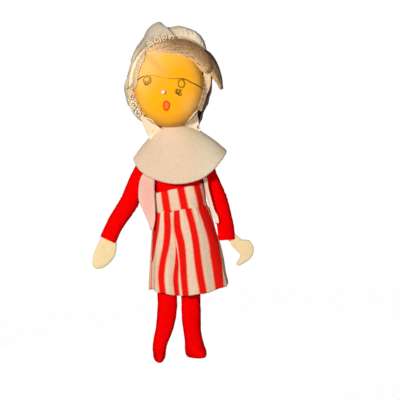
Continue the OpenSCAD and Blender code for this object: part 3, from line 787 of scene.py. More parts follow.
# ---------------------------------------------------------------------- head
def make_head():
    import bmesh
    bm = bmesh.new()
    bmesh.ops.create_icosphere(bm, subdivisions=6, radius=1.0)
    V = np.array([v.co for v in bm.verts])
    F = [tuple(v.index for v in f.verts) for f in bm.faces]
    bm.free()
    rho = np.hypot(V[:, 0], V[:, 2])
    V[:, 1] = np.where(V[:, 1] < 0, -np.maximum(1 - np.minimum(rho, 1) ** FLAT, 0) ** (1 / FLAT), V[:, 1])
    E = np.stack([np.full(len(V), ERX), np.full(len(V), ERY), np.where(V[:, 2] > 0, ERU, ERD)], 1)
    r = np.ones(len(V))
    for i, p in enumerate(V):
        r[i] += (0.22 * nz(*p, 1.7, 3) + 0.12 * nz(*p, 5.0, 9)) / 26
    P = EC + V * E * r[:, None]
    # the neck goes into a shallow hollow
    d = P - np.array([0, 0, 171])
    k = np.linalg.norm(d, axis=1)
    near = k < 7.6
    P[near] = np.array([0, 0, 171]) + d[near] / k[near, None] * 7.6
    X, Y, Z = P.T
    gold = np.array(lin(250, 168, 3)[:3])
    edge = np.array(lin(250, 180, 52)[:3])
    peach = np.array(lin(248, 190, 112)[:3])
    tan = np.array(lin(236, 168, 66)[:3])
    ruddy = np.array(lin(242, 160, 74)[:3])
    rr = np.hypot((X - EC[0]) / ERX, (Z - 202) / 29.0)
    C = gold + (edge - gold) * sm(0.62, 0.98, rr)[:, None]

    def spot(cx, cz, rx, rz, col, k, rot=0.0):
        nonlocal C
        a = math.radians(rot)
        u = (X - cx) * math.cos(a) + (Z - cz) * math.sin(a)
        v = -(X - cx) * math.sin(a) + (Z - cz) * math.cos(a)
        w = k * np.exp(-((u / rx) ** 2 + (v / rz) ** 2)) * (Y < 6)
        C = C * (1 - w[:, None]) + np.array(col) * w[:, None]
    spot(-14, 226, 10, 12, peach, 0.95)
    spot(-23, 214, 7, 11, peach, 0.8)
    spot(4, 223.5, 13, 4, edge, 0.8)
    spot(20, 210, 5, 12, edge, 0.8)
    spot(17, 188, 9, 8, peach, 0.75, 40)
    spot(10, 181, 12, 4.5, tan, 0.6, 20)
    spot(-14, 180, 9, 4, tan, 0.55, -20)
    spot(-24, 193, 4.5, 8, edge, 0.8)
    spot(-8.5, 219.5, 8.5, 1.9, ruddy, 0.6, -47)
    spot(-12.5, 224, 5.0, 2.6, ruddy, 0.5, -60)
    spot(11, 196, 5, 3, edge, 0.45, 0)
    back = sm(2, 8, Y)
    C = C * (1 - back[:, None]) + edge * back[:, None]
    o = build("head_felt", P, F, m_face, tint=C)
    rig.replaces(o, "face_felt")
    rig.slot(o, "face_felt")
    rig.padded(o, fill=0.95)
    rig.ride(o, "head")
    return o


make_head()


def stitch_line(bag, pts, r, h=0.15, n=10):
    """a thread lying on the face through [x, z] points, its ends going in"""
    L = smooth_line(pts, n)
    lift = np.full(n, h + r)
    lift[0] = lift[-1] = -0.2
    lift[1] = lift[-2] = h
    C = np.stack([L[:, 0], face_y(L[:, 0], L[:, 1], 0) - lift, L[:, 1]], 1)
    V, F = sweep(C, r, r, (0, 1, 0.01), 8)
    bag.add(V, F)


def make_eyes():
    b = Bag()
    for pts in ([[-16.4, 209.9], [-18.4, 209.0], [-20.0, 208.3]], [[-20.2, 208.5], [-18.2, 207.3], [-16.7, 206.8]],
                [[-20.1, 209.6], [-19.9, 208.2], [-19.4, 206.9]], [[-17.4, 210.6], [-16.0, 209.6], [-15.6, 208.2]],
                [[-18.9, 210.4], [-17.4, 208.9], [-17.3, 207.6]]):
        stitch_line(b, pts, 0.21)
    V, F, _ = b.out()
    e = build("left_eye_stitches", V, F, m_black)
    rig.replaces(e, "left_eye")
    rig.slot(e, "black_thread")
    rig.ride(e, "head")
    b = Bag()
    for pts in ([[1.2, 200.9], [3.2, 200.2], [5.0, 198.2]], [[1.6, 202.0], [3.9, 201.3], [6.2, 199.2]],
                [[2.6, 202.6], [4.9, 202.1], [6.7, 200.8]], [[1.6, 199.9], [3.0, 199.3], [4.2, 197.8]],
                [[5.9, 201.9], [5.2, 200.0], [3.9, 198.6]], [[3.2, 202.0], [2.7, 200.3], [2.9, 198.8]],
                [[4.5, 197.6], [5.6, 197.7], [6.3, 198.7]]):
        stitch_line(b, pts, 0.26)
    V, F, _ = b.out()
    e = build("right_eye_stitches", V, F, m_black)
    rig.replaces(e, "right_eye")
    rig.slot(e, "black_thread")
    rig.ride(e, "head")


make_eyes()


def make_nose():
    c = np.array([-6.9, float(face_y(-6.9, 201.2, 0.75)), 201.2])
    n = (c - HC) / np.linalg.norm(c - HC)
    u = np.cross(n, [0, 0, 1.0]); u /= np.linalg.norm(u)
    w = np.cross(u, n)
    rows = []
    for k in range(25):
        a = math.pi * k / 24
        r = 1.62 * math.sin(a) ** 0.92 if 0 < k < 24 else 0.0
        h = 1.45 * math.cos(a) - (0.35 * math.exp(-(r / 0.45) ** 2) if k < 12 else 0)
        rows.append((max(r, 0.02), h))
    V = [c + n * h + (u * math.cos(t) + w * math.sin(t)) * r for r, h in rows for t in np.arange(32) * 2 * math.pi / 32]
    F = grid_faces(25, 32, True) + [tuple(range(32)), tuple(24 * 32 + k for k in range(32))]
    o = build("nose_bead_turned", V, F, m_bead)
    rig.replaces(o, "nose_bead")
    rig.slot(o, "nose_bead")
    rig.ride(o, "head")


make_nose()


def make_mouth():
    rows, K = [], 48
    V, T = [], []
    ring, mid = np.array(lin(238, 78, 16)[:3]), np.array(lin(253, 122, 34)[:3])
    radii = np.r_[np.linspace(0.03, 1.0, 16), 1.03, 1.0]
    for i, k in enumerate(radii):
        for j in range(K):
            a = 2 * math.pi * j / K
            wob = 1 + 0.03 * math.sin(3 * a + 1) + 0.02 * math.sin(7 * a)
            x = -5.6 + 2.55 * k * math.cos(a) * wob + 0.25 * math.sin(a) * k
            z = 191.2 + 3.75 * k * math.sin(a) * wob
            lift = 0.55 + 0.30 * math.exp(-((k - 0.82) / 0.12) ** 2) - 0.15 * (k < 0.5)
            if i >= 16:
                lift = 0.3 if i == 16 else -0.3
            V.append((x, float(face_y(x, z)) - lift, z))
            w = float(sm(0.5, 0.72, k))
            T.append(mid * (1 - w) + ring * w)
    F = grid_faces(len(radii), K, True) + [tuple(range(K)), tuple((len(radii) - 1) * K + k for k in range(K))]
    o = build("mouth_stitched", V, F, m_mouth, tint=np.array(T))
    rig.replaces(o, "mouth_patch")
    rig.slot(o, "mouth_felt")
    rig.ride(o, "head")


make_mouth()


def make_spectacles():
    b = Bag()
    dark, brass = np.array(lin(92, 58, 20)[:3]), np.array(lin(196, 156, 40)[:3])

    def wire(P, r, shade, n):
        C = smooth_line(P, n)
        lim = face_y(C[:, 0], C[:, 2]) - r - 0.25
        C[:, 1] = np.where(C[:, 1] > -6, C[:, 1], np.minimum(C[:, 1], lim))
        V, F = sweep(C, r, r, (0.1, 1, 0.2), 8)
        w = np.repeat(np.interp(np.linspace(0, 1, n), np.linspace(0, 1, len(shade)), shade), 8)
        b.add(V, F, dark * (1 - w[:, None]) + brass * w[:, None])

    def turn(cx, cz, y0, y1, rx, rz, turns, k1, start=90):
        n = int(26 * turns)
        out = []
        for k in range(n + 1):
            t = k / n
            a = math.radians(start - 360 * turns * t)
            f = 1 - (1 - k1) * t
            out.append([cx + rx * f * math.cos(a), y0 + (y1 - y0) * t, cz + rz * f * math.sin(a)])
        return out
    # left temple into the left lens coil
    left = [[-33.6, -9.4, 206.2], [-30.4, -13.4, 208.0], [-26, -16.8, 210.9], [-22.4, -19.2, 213.2], [-19.6, -20.9, 214.0]]
    wire(left, 0.33, [1.0, 0.6, 0.1, 0, 0], 40)
    wire(turn(-18.2, 210.9, -22.4, -24.4, 3.3, 3.5, 1.8, 0.45), 0.24, [0, 0.2, 0.5, 0.7], 110)
    bridge = [[-18.6, -21.6, 214.1], [-15, -23.6, 213.9], [-10, -25.4, 213], [-4, -26.6, 211.2], [2, -27.0, 210.2], [6.6, -26.4, 209.9]]
    wire(bridge, 0.27, [0.2, 0.7, 1, 1, 0.9, 0.6, 0.2], 60)
    wire(turn(6.6, 206.3, -26.6, -28.0, 2.8, 3.7, 1.6, 0.62), 0.24, [0.2, 0.4, 0.5, 0.6], 100)
    right = [[6.6, -26.4, 209.9], [10, -25.2, 209.0], [14, -22.8, 206.6], [19.6, -17.8, 203.4], [22.8, -13.8, 201.4], [24.6, -10, 200.4]]
    wire(right, 0.37, [0.1, 0, 0, 0, 0.1], 60)
    V, F, T = b.out()
    o = build("spectacles_bent", V, F, m_spec, tint=T)
    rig.replaces(o, "spectacles")
    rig.slot(o, "spectacle_wire")
    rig.ride(o, "head")


make_spectacles()


# ---------------------------------------------------------------------- hair
def make_hair_mesh(name, node, path, W, TT, A, count, r, n, shade, wild=0.1, base=0.86, seed=1, fade=0.0):
    C = smooth_line(path, n)
    s = np.linspace(0, 1, n)
    Ws, Ts = crp(W, s)[:, 0], crp(TT, s)[:, 0]
    _, U, Wd = sweep_frames(C, A)
    b = Bag()
    V, F = sweep(C, Ws * base, Ts * base, A, 24)
    # the core under the strands is painted darker: painted shade in the gaps between strands
    b.add(V, F, np.array(shade(0.5)) * 0.6)
    rg = random.Random(seed)
    for k in range(count):
        ph = 2 * math.pi * (k + rg.random()) / count
        f0, a1, w1, p1 = rg.uniform(0.93, 1.12), rg.uniform(0.3, 1) * wild, rg.uniform(1.5, 4), rg.uniform(0, 6.3)
        s0, s1 = rg.uniform(0, 0.04), rg.uniform(0.9, 1.0)
        idx = np.linspace(s0, s1, 44)
        Ck = np.stack([np.interp(idx, s, C[:, q]) for q in range(3)], 1)
        Uk = np.stack([np.interp(idx, s, U[:, q]) for q in range(3)], 1)
        Wk = np.stack([np.interp(idx, s, Wd[:, q]) for q in range(3)], 1)
        wk, tk = np.interp(idx, s, Ws), np.interp(idx, s, Ts)
        p = ph + a1 * np.sin(w1 * idx * 6 + p1)
        f = f0 + 0.05 * np.sin(idx * 9 + p1 * 2)
        P = Ck + Uk * (wk * f * np.cos(p))[:, None] + Wk * (tk * f * np.sin(p))[:, None]
        rad = r * rg.uniform(0.7, 1.2) * (0.35 + 0.65 * np.sin(np.pi * np.clip(idx * 0.96 + 0.02, 0, 1)) ** 0.4)
        Vk, Fk = sweep(P, rad, rad * 0.8, (0, 1, 0.1), 5)
        c = np.array(shade(math.cos(ph))) * rg.uniform(0.82, 1.12)
        f = (fade * sm(0.42, 0.05, idx))[:, None]
        b.add(Vk, Fk, np.repeat(c * (1 - f) + h_root * f, 5, 0))
    V, F, T = b.out()
    o = build(name, V, F, m_hair, tint=T, recalc=False)
    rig.replaces(o, node)
    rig.slot(o, "hair")
    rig.ride(o, "head")
    return o


# hair colours: the dark one is a painted shadow colour, the light one a painted lit colour
h_shadow_dark, h_mid, h_lit_light, h_root = (np.array(lin(*c)[:3]) for c in ((128, 92, 54), (200, 162, 116), (238, 200, 152), (240, 198, 140)))


def roll_painted_shade(c):
    # c is 1 at the upper edge of the roll and -1 at the lower; the upper edge gets painted shade where the cap's rim
    # shadows it, the lower edge painted light
    if c > 0:
        k = c ** 0.8
        return h_mid * (1 - k) + h_shadow_dark * k
    k = (-c) ** 0.45
    return h_mid * (1 - k) + h_lit_light * k


make_hair_mesh("hair_roll_strands", "hair_roll",
               [[-17, -19.6, 231.0], [-11.5, -20.6, 231.8], [-4, -21.6, 231.8], [6, -21.6, 231.0], [16, -19.4, 227.4], [23.6, -16.6, 221.4], [29.6, -13.4, 214.0]],
               [1.2, 4.2, 6.8, 7.8, 7.2, 5.6, 3.0], [1.0, 2.4, 3.2, 3.4, 3.2, 2.6, 1.6], (0, -0.30, 1), 230, 0.40, 60, roll_painted_shade, 0.14, seed=3, fade=0.75)
# painted shadow on the lock: its right-hand strands painted near black, the middle ones dark brown, the left ones mid
make_hair_mesh("hair_lock_strands", "hair_lock",
               [[21.0, -14.2, 231.4], [27.6, -13.0, 224.6], [32.6, -12.0, 215.0], [35.4, -11.2, 207.0], [37.2, -10.8, 200.0]],
               [1.6, 4.0, 3.9, 2.8, 1.2], [1.0, 1.8, 1.8, 1.4, 0.7], (1, 0.2, 0.45), 64, 0.36, 40,
               lambda c: h_mid * 0.92 if c < -0.25 else (h_shadow_dark * 0.95 if c < 0.5 else h_shadow_dark * 0.10), 0.08, seed=5)


# ----------------------------------------------------------------------- cap
cap_line = [[-18, 172.0], [-23.8, 180], [-29.4, 187], [-33.6, 197], [-35.2, 206], [-33, 217], [-28.6, 228], [-22, 238.6], [-14.6, 247.4],
            [-6.5, 253.4], [2.5, 251.4], [11, 251.6], [20, 247.8], [26.8, 239.2], [29.6, 230], [32.6, 220], [33, 208], [29.8, 196.5], [24.2, 185], [18, 172.0]]
edge_line = [[-17, 173], [-23, 180.5], [-28, 188.5], [-31.2, 198], [-31.6, 207], [-29.6, 217], [-25.4, 226.6], [-19, 233.4], [-11, 237.6],
             [-2, 240.8], [6, 241.4], [13, 240.4], [20, 236.6], [25.4, 230], [28.4, 221.6], [29.4, 213.6], [29.0, 204.6], [26.6, 194.6], [22.0, 184], [17, 173]]


def make_cap():
    NI, NV = 261, 100
    s = np.linspace(0, 1, NI)
    capc, edg = crp(cap_line, s), crp(edge_line, s)
    # the sharp fold at the top left: the left cloth stands proud of the right
    v = np.linspace(0, 1, NV) ** 1.15
    c0 = np.array([-1.0, 206.0])
    P = np.zeros((NV, NI, 3))
    seeds = [rng.uniform(0, 6.28) for _ in range(12)]
    ang_tot = None
    for a_i, vv in enumerate(v):
        w = math.sin(math.pi / 2 * min(vv / 0.16, 1.0))
        a = vv * math.radians(88.5)
        q = edg * (1 - w) + capc * w - c0
        th = np.arctan2(q[:, 0], q[:, 1])            # 0 at the top, negative to the left
        rad = np.hypot(q[:, 0], q[:, 1])
        close = float(sm(0.10, 0.55, vv))
        th2 = th * (1 + (math.pi / np.abs(th[[0, -1]]).mean() - 1) * close)
        k = math.cos(a) ** 0.82
        r2 = rad * k
        # below the head the cap draws in towards the nape
        low = np.clip((np.abs(th2) - 2.0) / 1.1, 0, 1)
        r2 = r2 * (1 - 0.22 * low * float(sm(0.1, 0.6, vv)))
        x = c0[0] + r2 * np.sin(th2)
        z = c0[1] + r2 * np.cos(th2)
        y = -6.5 + 37.3 * math.sin(a) - 4.6 * math.sin(math.pi * min(vv / 0.17, 1.0)) * np.clip(np.cos(th * 0.5), 0.15, 1)
        P[a_i] = np.stack([x, np.broadcast_to(y, x.shape), z], 1)
    n = grid_normals(P)
    out = (P - np.array([-1, 8, 206]))
    if (n * out).sum() < 0:
        n = -n
    # gathers: from the front edge, and drawn together at the back
    S, Vv = np.meshgrid(s * 200.0, v)
    fr = np.exp(-((Vv - 0.03) / 0.13) ** 2)
    bk = sm(0.72, 0.97, Vv)
    g = np.zeros_like(S)
    for i in range(NI):
        for_ = S[0, i]
        a1 = 0.75 * math.sin(for_ * 2 * math.pi / 11.5 + 2.2 * math.sin(for_ * 0.11 + seeds[0]))
        a2 = 0.35 * math.sin(for_ * 2 * math.pi / 5.3 + 2.6 * math.sin(for_ * 0.09 + seeds[1]))
        amp = 0.20 + 0.26 * float(sm(-3.0, 5.0, capc[i, 0])) * float(sm(214, 236, capc[i, 1]))
        g[:, i] = (a1 + a2) * fr[:, i] * amp + 0.9 * math.sin(for_ * 2 * math.pi / 9.0 + seeds[2]) * bk[:, i]
    D = g
    for i in range(NV):
        for j in range(NI):
            x, y, z = P[i, j]
            D[i, j] += 1.7 * nz(x, y, z, 0.055, 4) + 0.95 * nz(x, y, z, 0.14, 8) + 0.28 * nz(x, y, z, 0.5, 2)
    # fold line at the upper left and the lower flap edge on the right
    X, Y, Z = P[..., 0], P[..., 1], P[..., 2]
    side = (X - (-3.4)) * 0.72 + (Z - 253.0) * 0.69   # > 0 to the right of the crease
    top = sm(236, 243, Z) * sm(14, 4, Y)
    D += 2.0 * top * (1 - sm(-0.5, 0.5, side)) * np.exp(-np.clip(-side, 0, 99) / 13) - 0.7 * top * np.exp(-((side - 0.9) / 1.3) ** 2)
    D *= np.clip(Vv / 0.03, 0.15, 1)
    P = P + n * D[..., None]
    # painted shade: the hollows of the gathers painted darker
    shade = 1.0 - 0.10 * np.clip(-D, 0, 1.5) / 1.5
    # painted shade: the left side of the cap painted darker and a little warmer
    left_side_painted_shade = sm(-4, -26, X)
    shade = shade * (1 - 0.10 * left_side_painted_shade)
    V, F, src = thick(P, 0.9, flip=((grid_normals(P) * out).sum() < 0))
    tint = shade.reshape(-1)[src]
    tint = np.stack([tint, tint * (1 - 0.01 * left_side_painted_shade.reshape(-1)[src]), tint * (1 - 0.05 * left_side_painted_shade.reshape(-1)[src])], 1)
    # painted shade on the upper left of the cap's top, at the front
    crown = (sm(8, -2, X) * sm(228, 238, Z) * sm(12, 4, Y)).reshape(-1)[src][:, None]
    tint = tint * (1 - 0.30 * crown * np.array([1, 0.98, 0.92]))
    # painted shadow on the turn of the cloth beside the right cheek
    jaw_painted_shadow = (sm(12, 18, X) * sm(211, 201, Z) * sm(15, 3, Y)).reshape(-1)[src][:, None]
    tint = tint * (1 - jaw_painted_shadow) + tint * np.array([0.26, 0.19, 0.15]) * jaw_painted_shadow
    o = build("cap_gathered", V, F, m_cap, tint=tint)
    # the knot of thread that closes the gathers behind
    K = Bag()
    for k in range(9):
        a = k * math.pi / 9
        C = np.array([[-1 + 3.2 * math.cos(a) * t, 30.6 + 1.3 * (1 - t * t), 206 + 3.2 * math.sin(a) * t] for t in np.linspace(-1, 1, 13)])
        V2, F2 = sweep(C, 0.75, 0.55, (0, 1, 0.02), 8)
        K.add(V2, F2, np.ones(3) * (0.86 + 0.03 * (k % 3)))
    V2, F2, T2 = K.out()
    kn = build("cap_gather_knot", V2, F2, m_cap, tint=T2)
    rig.slot(kn, "cap_cotton")
    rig.ride(kn, "head")
    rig.replaces(o, "cap_crown")
    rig.slot(o, "cap_cotton")
    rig.ride(o, "head")
    return o


cap = make_cap()


def make_frill():
    # gathered lace round the opening: the cheeks get curls, the brow a flatter ruffle
    NI, NV = 700, 14
    s = np.linspace(0.07, 0.945, NI)
    e = crp(edge_line, s)
    d = np.r_[0, np.cumsum(np.linalg.norm(np.diff(e, axis=0), axis=1))]
    t = np.gradient(e, axis=0)
    t /= np.linalg.norm(t, axis=1, keepdims=True)
    nin = np.stack([t[:, 1], -t[:, 0]], 1)            # towards the face
    c0 = np.array([-1.0, 206.0])
    if ((c0 - e) * nin).sum() < 0:
        nin = -nin
    lower_left = sm(206, 200, e[:, 1]) * (e[:, 0] < 0)
    right = (e[:, 0] > 0) * sm(226, 216, e[:, 1])
    brow = sm(228, 236, e[:, 1])
    lam = 6.0 - 2.4 * (1 - lower_left)
    ph = np.r_[0, np.cumsum(np.diff(d) * 2 * math.pi / ((lam[1:] + lam[:-1]) / 2))] + 0.7 * np.sin(d * 0.19) + 0.5 * np.sin(d * 0.43 + 1)
    upper_left = (e[:, 0] < 0) * sm(203, 209, e[:, 1]) * sm(236, 229, e[:, 1])
    low_right = (e[:, 0] > 0) * sm(206, 194, e[:, 1])
    amp = 0.45 + 0.25 * lower_left - 0.12 * right - 0.33 * upper_left - 0.12 * low_right
    width = 3.4 + 2.8 * lower_left + 3.9 * right + 4.6 * upper_left - 3.4 * low_right
    shift = 3.3 * low_right
    P = np.zeros((NV, NI, 3))
    for k in range(NV):
        v = k / (NV - 1)
        curl = amp * v ** 0.8
        inward = width * (0.15 + 0.85 * v) - 1.2 * (1 - v) + shift
        x = e[:, 0] + nin[:, 0] * (inward * 0.72 + 0.45 * curl * np.sin(ph * 1.0)) + t[:, 0] * curl * 0.95 * np.cos(ph)
        z = e[:, 1] + nin[:, 1] * (inward * 0.72 + 0.45 * curl * np.sin(ph * 1.0)) + t[:, 1] * curl * 0.95 * np.cos(ph)
        y = -8.6 - 4.2 * v - curl * 1.1 * np.sin(ph) - right * (3.4 * (1 - v) + 0.6 * v)
        # stay in front of the head
        yf = face_y(x, z) - 0.6 - (0.3 + 1.0 * curl) * (1 + np.sin(ph)) * v
        y = np.where(face_y(x, z) < -2.0, np.minimum(y, yf), y)
        P[k] = np.stack([x, y, z], 1)
    tt = np.full((NV, NI), 0.45)
    # painted shade: the ruffle's valleys painted darker
    ruffle_painted_light_shade = 1.0 - 0.16 * (0.5 - 0.5 * np.sin(ph))[None, :] * np.linspace(0.3, 1, NV)[:, None]
    V, F, src = thick(P, tt)
    # painted light: the upper left and right stretches painted brighter, where they turn away from the lamp
    ruffle_painted_light_shade = ruffle_painted_light_shade * (1 + 0.16 * upper_left + 0.10 * right)[None, :]
    tint = np.repeat(ruffle_painted_light_shade.reshape(-1)[src][:, None], 3, 1) * np.array([1, 0.99, 0.98])
    o = build("cap_frill_gathered", V, F, m_lace, tint=tint)
    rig.replaces(o, "cap_frill")
    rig.slot(o, "lace")
    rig.ride(o, "head")
    L = float(d[-1]) * 1.6 / 1000
    ar = area_of(o) / 2
    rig.sheet(o, flat=(0.0102, ar / 0.0102 * 1.02), held="gathered", rests_on=["head_felt"], area=ar)
    # curls of the same lace where the fold of the cap is caught down and beside the left cheek
    b = Bag()
    for k, (cx, cz, y0, r1, turns, sgn) in enumerate(((-12.9, 236.0, -19.4, 2.9, 1.45, 1), (-7.8, 239.8, -18.2, 3.0, 1.5, -1), (-2.0, 241.8, -16.8, 2.6, 1.4, 1),
                                                      (3.2, 241.4, -16.0, 2.1, 1.3, -1), (-28.2, 205.4, -13.4, 2.6, 1.3, 1), (-30.0, 199.8, -13.6, 3.1, 1.5, -1),
                                                      (-29.2, 193.6, -13.6, 3.1, 1.5, 1), (-26.2, 187.8, -13.4, 2.8, 1.4, -1))):
        q = np.linspace(0, 1, 46)
        a = sgn * q * turns * 2 * math.pi + k * 1.3
        r = 0.45 + (r1 - 0.45) * q ** 0.85
        C = np.stack([cx + r * np.cos(a), y0 + 1.3 * q, cz + 1.08 * r * np.sin(a)], 1)
        V, F = sweep(C, np.full(46, 0.60), np.full(46, 0.85), (1, 0, 0.001), 8)
        b.add(V, F, np.array([0.98, 1.0, 1.02]) * (0.98 + 0.03 * (k % 2)))
    V, F, T = b.out()
    ro = build("cap_rosette", V, F, m_lace, tint=T)
    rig.slot(ro, "lace")
    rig.ride(ro, "head")
    return o, ro


frill, rosette = make_frill()


def make_ties():
    b = Bag()
    for pts in ([[-26.0, 187.4], [-16.6, 182.0], [-5.0, 168.0], [-19.0, 166.0]], [[7.6, 177.0], [17.2, 186.6], [19.0, 167.0], [5.0, 168.0]]):
        p = np.array(pts)
        G = np.zeros((16, 12, 3))
        for i in range(16):
            for j in range(12):
                u, v = j / 11, i / 15
                q = (p[0] * (1 - u) + p[1] * u) * (1 - v) + (p[3] * (1 - u) + p[2] * u) * v
                fy = float(face_y(q[0], q[1]))
                yb = -11.6 + 0.46 * max(187.0 - q[1], 0.0)
                G[i, j] = (q[0], (min(yb, fy - 0.9) if fy < -3 else yb) - 0.45 * math.sin(u * 5 + v * 2), q[1])
        V, F, _ = thick(G, 0.6)
        b.add(V, F, np.array([0.93, 0.86, 0.72]))
    V, F, T = b.out()
    o = build("cap_tie_ends", V, F, m_tie, tint=T)
    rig.replaces(o, "cap_ties")
    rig.slot(o, "cap_cotton")
    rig.ride(o, "head")
    return o


ties = make_ties()
ar = area_of(cap) / 2
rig.sheet(cap, flat=(0.15, ar / 0.15 * 1.02), held="gathered", rests_on=["head_felt"], area=ar, with_pieces=["cap_gather_knot", ties, rosette])


# ---------------------------------------------------------------------- torso
torso_prof = np.array([[82, 4], [83, 6.2], [85, 8.2], [88, 9.8], [93, 11], [100, 11.7], [112, 12], [130, 12],
                       [138, 11.4], [144, 10], [150, 7.5], [155, 6.9], [160, 6.7], [165, 6.4]])
BX, HS = -1.0, 6.5


def stad(s, r):
    """point on a stadium outline by its arc length from the front middle; works past both ends round to the back"""
    s = np.asarray(s, float)
    q = np.abs(s)
    sg = np.where(s < 0, -1.0, 1.0)
    x = np.where(q < HS, q, np.where(q < HS + math.pi * r, HS + r * np.sin((q - HS) / r), HS - (q - HS - math.pi * r)))
    y = np.where(q < HS, -r, np.where(q < HS + math.pi * r, -r * np.cos((q - HS) / r), r))
    return BX + sg * x, y


def stad_len(r):
    return 4 * HS + 2 * math.pi * r


def make_torso():
    NZ, NA = 90, 96
    z = np.linspace(82, 165, NZ)
    r = np.interp(z, torso_prof[:, 0], torso_prof[:, 1])
    P = np.zeros((NZ, NA, 3))
    for i in range(NZ):
        f = np.arange(NA) / NA - 0.5
        x, y = stad(f * stad_len(r[i]), r[i])
        for j in range(NA):
            k = 0.25 * nz(x[j], y[j], z[i], 0.13, 5) + 0.12 * nz(x[j], y[j], z[i], 0.4, 7)
            # side seams pull in a little
            seam = 0.35 * math.exp(-((y[j]) / 0.9) ** 2) * (abs(x[j] - BX) > HS)
            c = np.array([np.clip(x[j], BX - HS, BX + HS), 0])
            dlt = np.array([x[j], y[j]]) - c
            dlt = dlt / max(np.linalg.norm(dlt), 1e-6)
            P[i, j] = (x[j] + dlt[0] * (k - seam), y[j] + dlt[1] * (k - seam), z[i])
    V = P.reshape(-1, 3)
    F = grid_faces(NZ, NA, True)
    V = np.vstack([V, [[BX, 0, 81.6], [BX, 0, 165.3]]])
    F += [(NZ * NA, (j + 1) % NA, j) for j in range(NA)] + [(NZ * NA + 1, (NZ - 1) * NA + j, (NZ - 1) * NA + (j + 1) % NA) for j in range(NA)]
    o = build("body_felt", V, F, m_red)
    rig.replaces(o, "torso_felt")
    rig.slot(o, "red_felt")
    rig.padded(o, fill=0.85)
    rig.ride(o, "torso")


make_torso()


# ---------------------------------------------------------------------- apron
def make_bib():
    NI, NV = 150, 56
    u = np.linspace(0, 1, NI)
    v = np.linspace(0, 1, NV)
    P = np.zeros((NV, NI, 3))
    UV = np.zeros((NV, NI, 2))
    for i, t in enumerate(v):
        s0, s1 = -23.8 - 1.0 * t, 24.4 + 1.0 * t
        s = s0 + (s1 - s0) * u
        x, y = stad(s, 13.5)
        w = (s + 21) / 42
        ztop = 126.7 + 4.4 * w + 0.5 * np.sin(w * 3.1) + 0.12 * np.sin(w * 40)
        zbot = 112.4 + 2.9 * w + 0.35 * np.sin(w * 5 + 1)
        z = ztop + (zbot - ztop) * t
        bow = 0.25 * np.sin(w * 9 + 1) * (1 - 0.5 * t)
        c = np.clip(x, BX - HS, BX + HS)
        dx, dy = x - c, y
        L = np.maximum(np.hypot(dx, dy), 1e-6)
        puff = bow + 0.35 * math.sin(math.pi * t)
        P[i] = np.stack([x + dx / L * puff, y + dy / L * puff, z], 1)
        UV[i, :, 0] = (s - 1.0 - 1.75 * t) / (12.45 + 0.9 * t)
        UV[i, :, 1] = z / 12.3
    V, F, src = thick(P, 1.1)
    if P[..., 1].mean() - V[NI * NV: 2 * NI * NV, 1].mean() > 0:      # keep the cloth's thickness towards the body
        V, F, src = thick(P, 1.1, flip=True)
    o = build("apron_bib_cloth", V, F, m_stripe, uv=UV.reshape(-1, 2)[src])
    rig.replaces(o, "apron_bib")
    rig.slot(o, "striped_cotton")
    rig.ride(o, "torso")
    ar = area_of(o) / 2
    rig.sheet(o, flat=(0.0505, 0.0172), held="stretched", rests_on=["body_felt"], area=min(ar, 0.0505 * 0.0172))
    return o


make_bib()


def make_waistband():
    NI, NV = 220, 8
    r = 13.25
    L = stad_len(r)
    s = np.linspace(-L / 2 + 3.4, L / 2 - 3.4, NI)
    P = np.zeros((NV, NI, 3))
    UV = np.zeros((NV, NI, 2))
    for i, t in enumerate(np.linspace(0, 1, NV)):
        x, y = stad(s, r)
        c = np.clip(x, BX - HS, BX + HS)
        L2 = np.maximum(np.hypot(x - c, y), 1e-6)
        lift = 0.35 * math.sin(math.pi * t) + np.where(np.abs(s) > 22, 0.35, -0.25)
        P[i] = np.stack([x + (x - c) / L2 * lift, y + y / L2 * lift, 116.2 - 4.4 * t + 1.2 * np.clip(x / 20, -1, 1)], 1)
        UV[i, :, 0] = (s - 2.7) / 12.6
        UV[i, :, 1] = t * 0.35
    V, F, src = thick(P, 1.0)
    if np.hypot(V[:NI * NV, 0] - BX, V[:NI * NV, 1]).mean() < np.hypot(V[NI * NV:2 * NI * NV, 0] - BX, V[NI * NV:2 * NI * NV, 1]).mean():
        V, F, src = thick(P, 1.0, flip=True)
    o = build("apron_waistband_cloth", V, F, m_stripe, uv=UV.reshape(-1, 2)[src])
    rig.replaces(o, "apron_waistband")
    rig.slot(o, "striped_cotton")
    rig.ride(o, "torso")
    ar = area_of(o) / 2
    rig.sheet(o, flat=(0.010, ar / 0.010 * 1.3), held="stretched", rests_on=["body_felt"], area=ar)


make_waistband()


def skirt_base(u, v):
    """middle of the cloth: u from the back opening round the left, the front and the right; v down"""
    s = (u - 0.5) * stad_len(13.6) * 344 / 360
    x0, y0 = stad(s, 13.7)
    a = math.radians(270) + (u - 0.5) * math.radians(344)
    w, d = 28.9, 19.6
    ca, sa = squircle(a, 2.5)
    x1, y1 = -0.5 + w * ca, d * sa
    k = v ** 0.80
    x, y = x0 + (x1 - x0) * k, y0 + (y1 - y0) * k
    front = np.clip(-np.sin(a), 0, 1)
    hem = np.interp(x, [-30, -20, -10, 0, 10, 20, 29], [55.8, 52.6, 50.5, 49.4, 50.3, 51.7, 54.4])
    hem = np.where(np.sin(a) > 0, 54.6 - 0.9 * np.sin(a), hem)
    ztop = 113.4 + 1.4 * np.clip(x / 20, -1, 1)
    z = ztop + (hem - ztop) * v
    return x, y, z


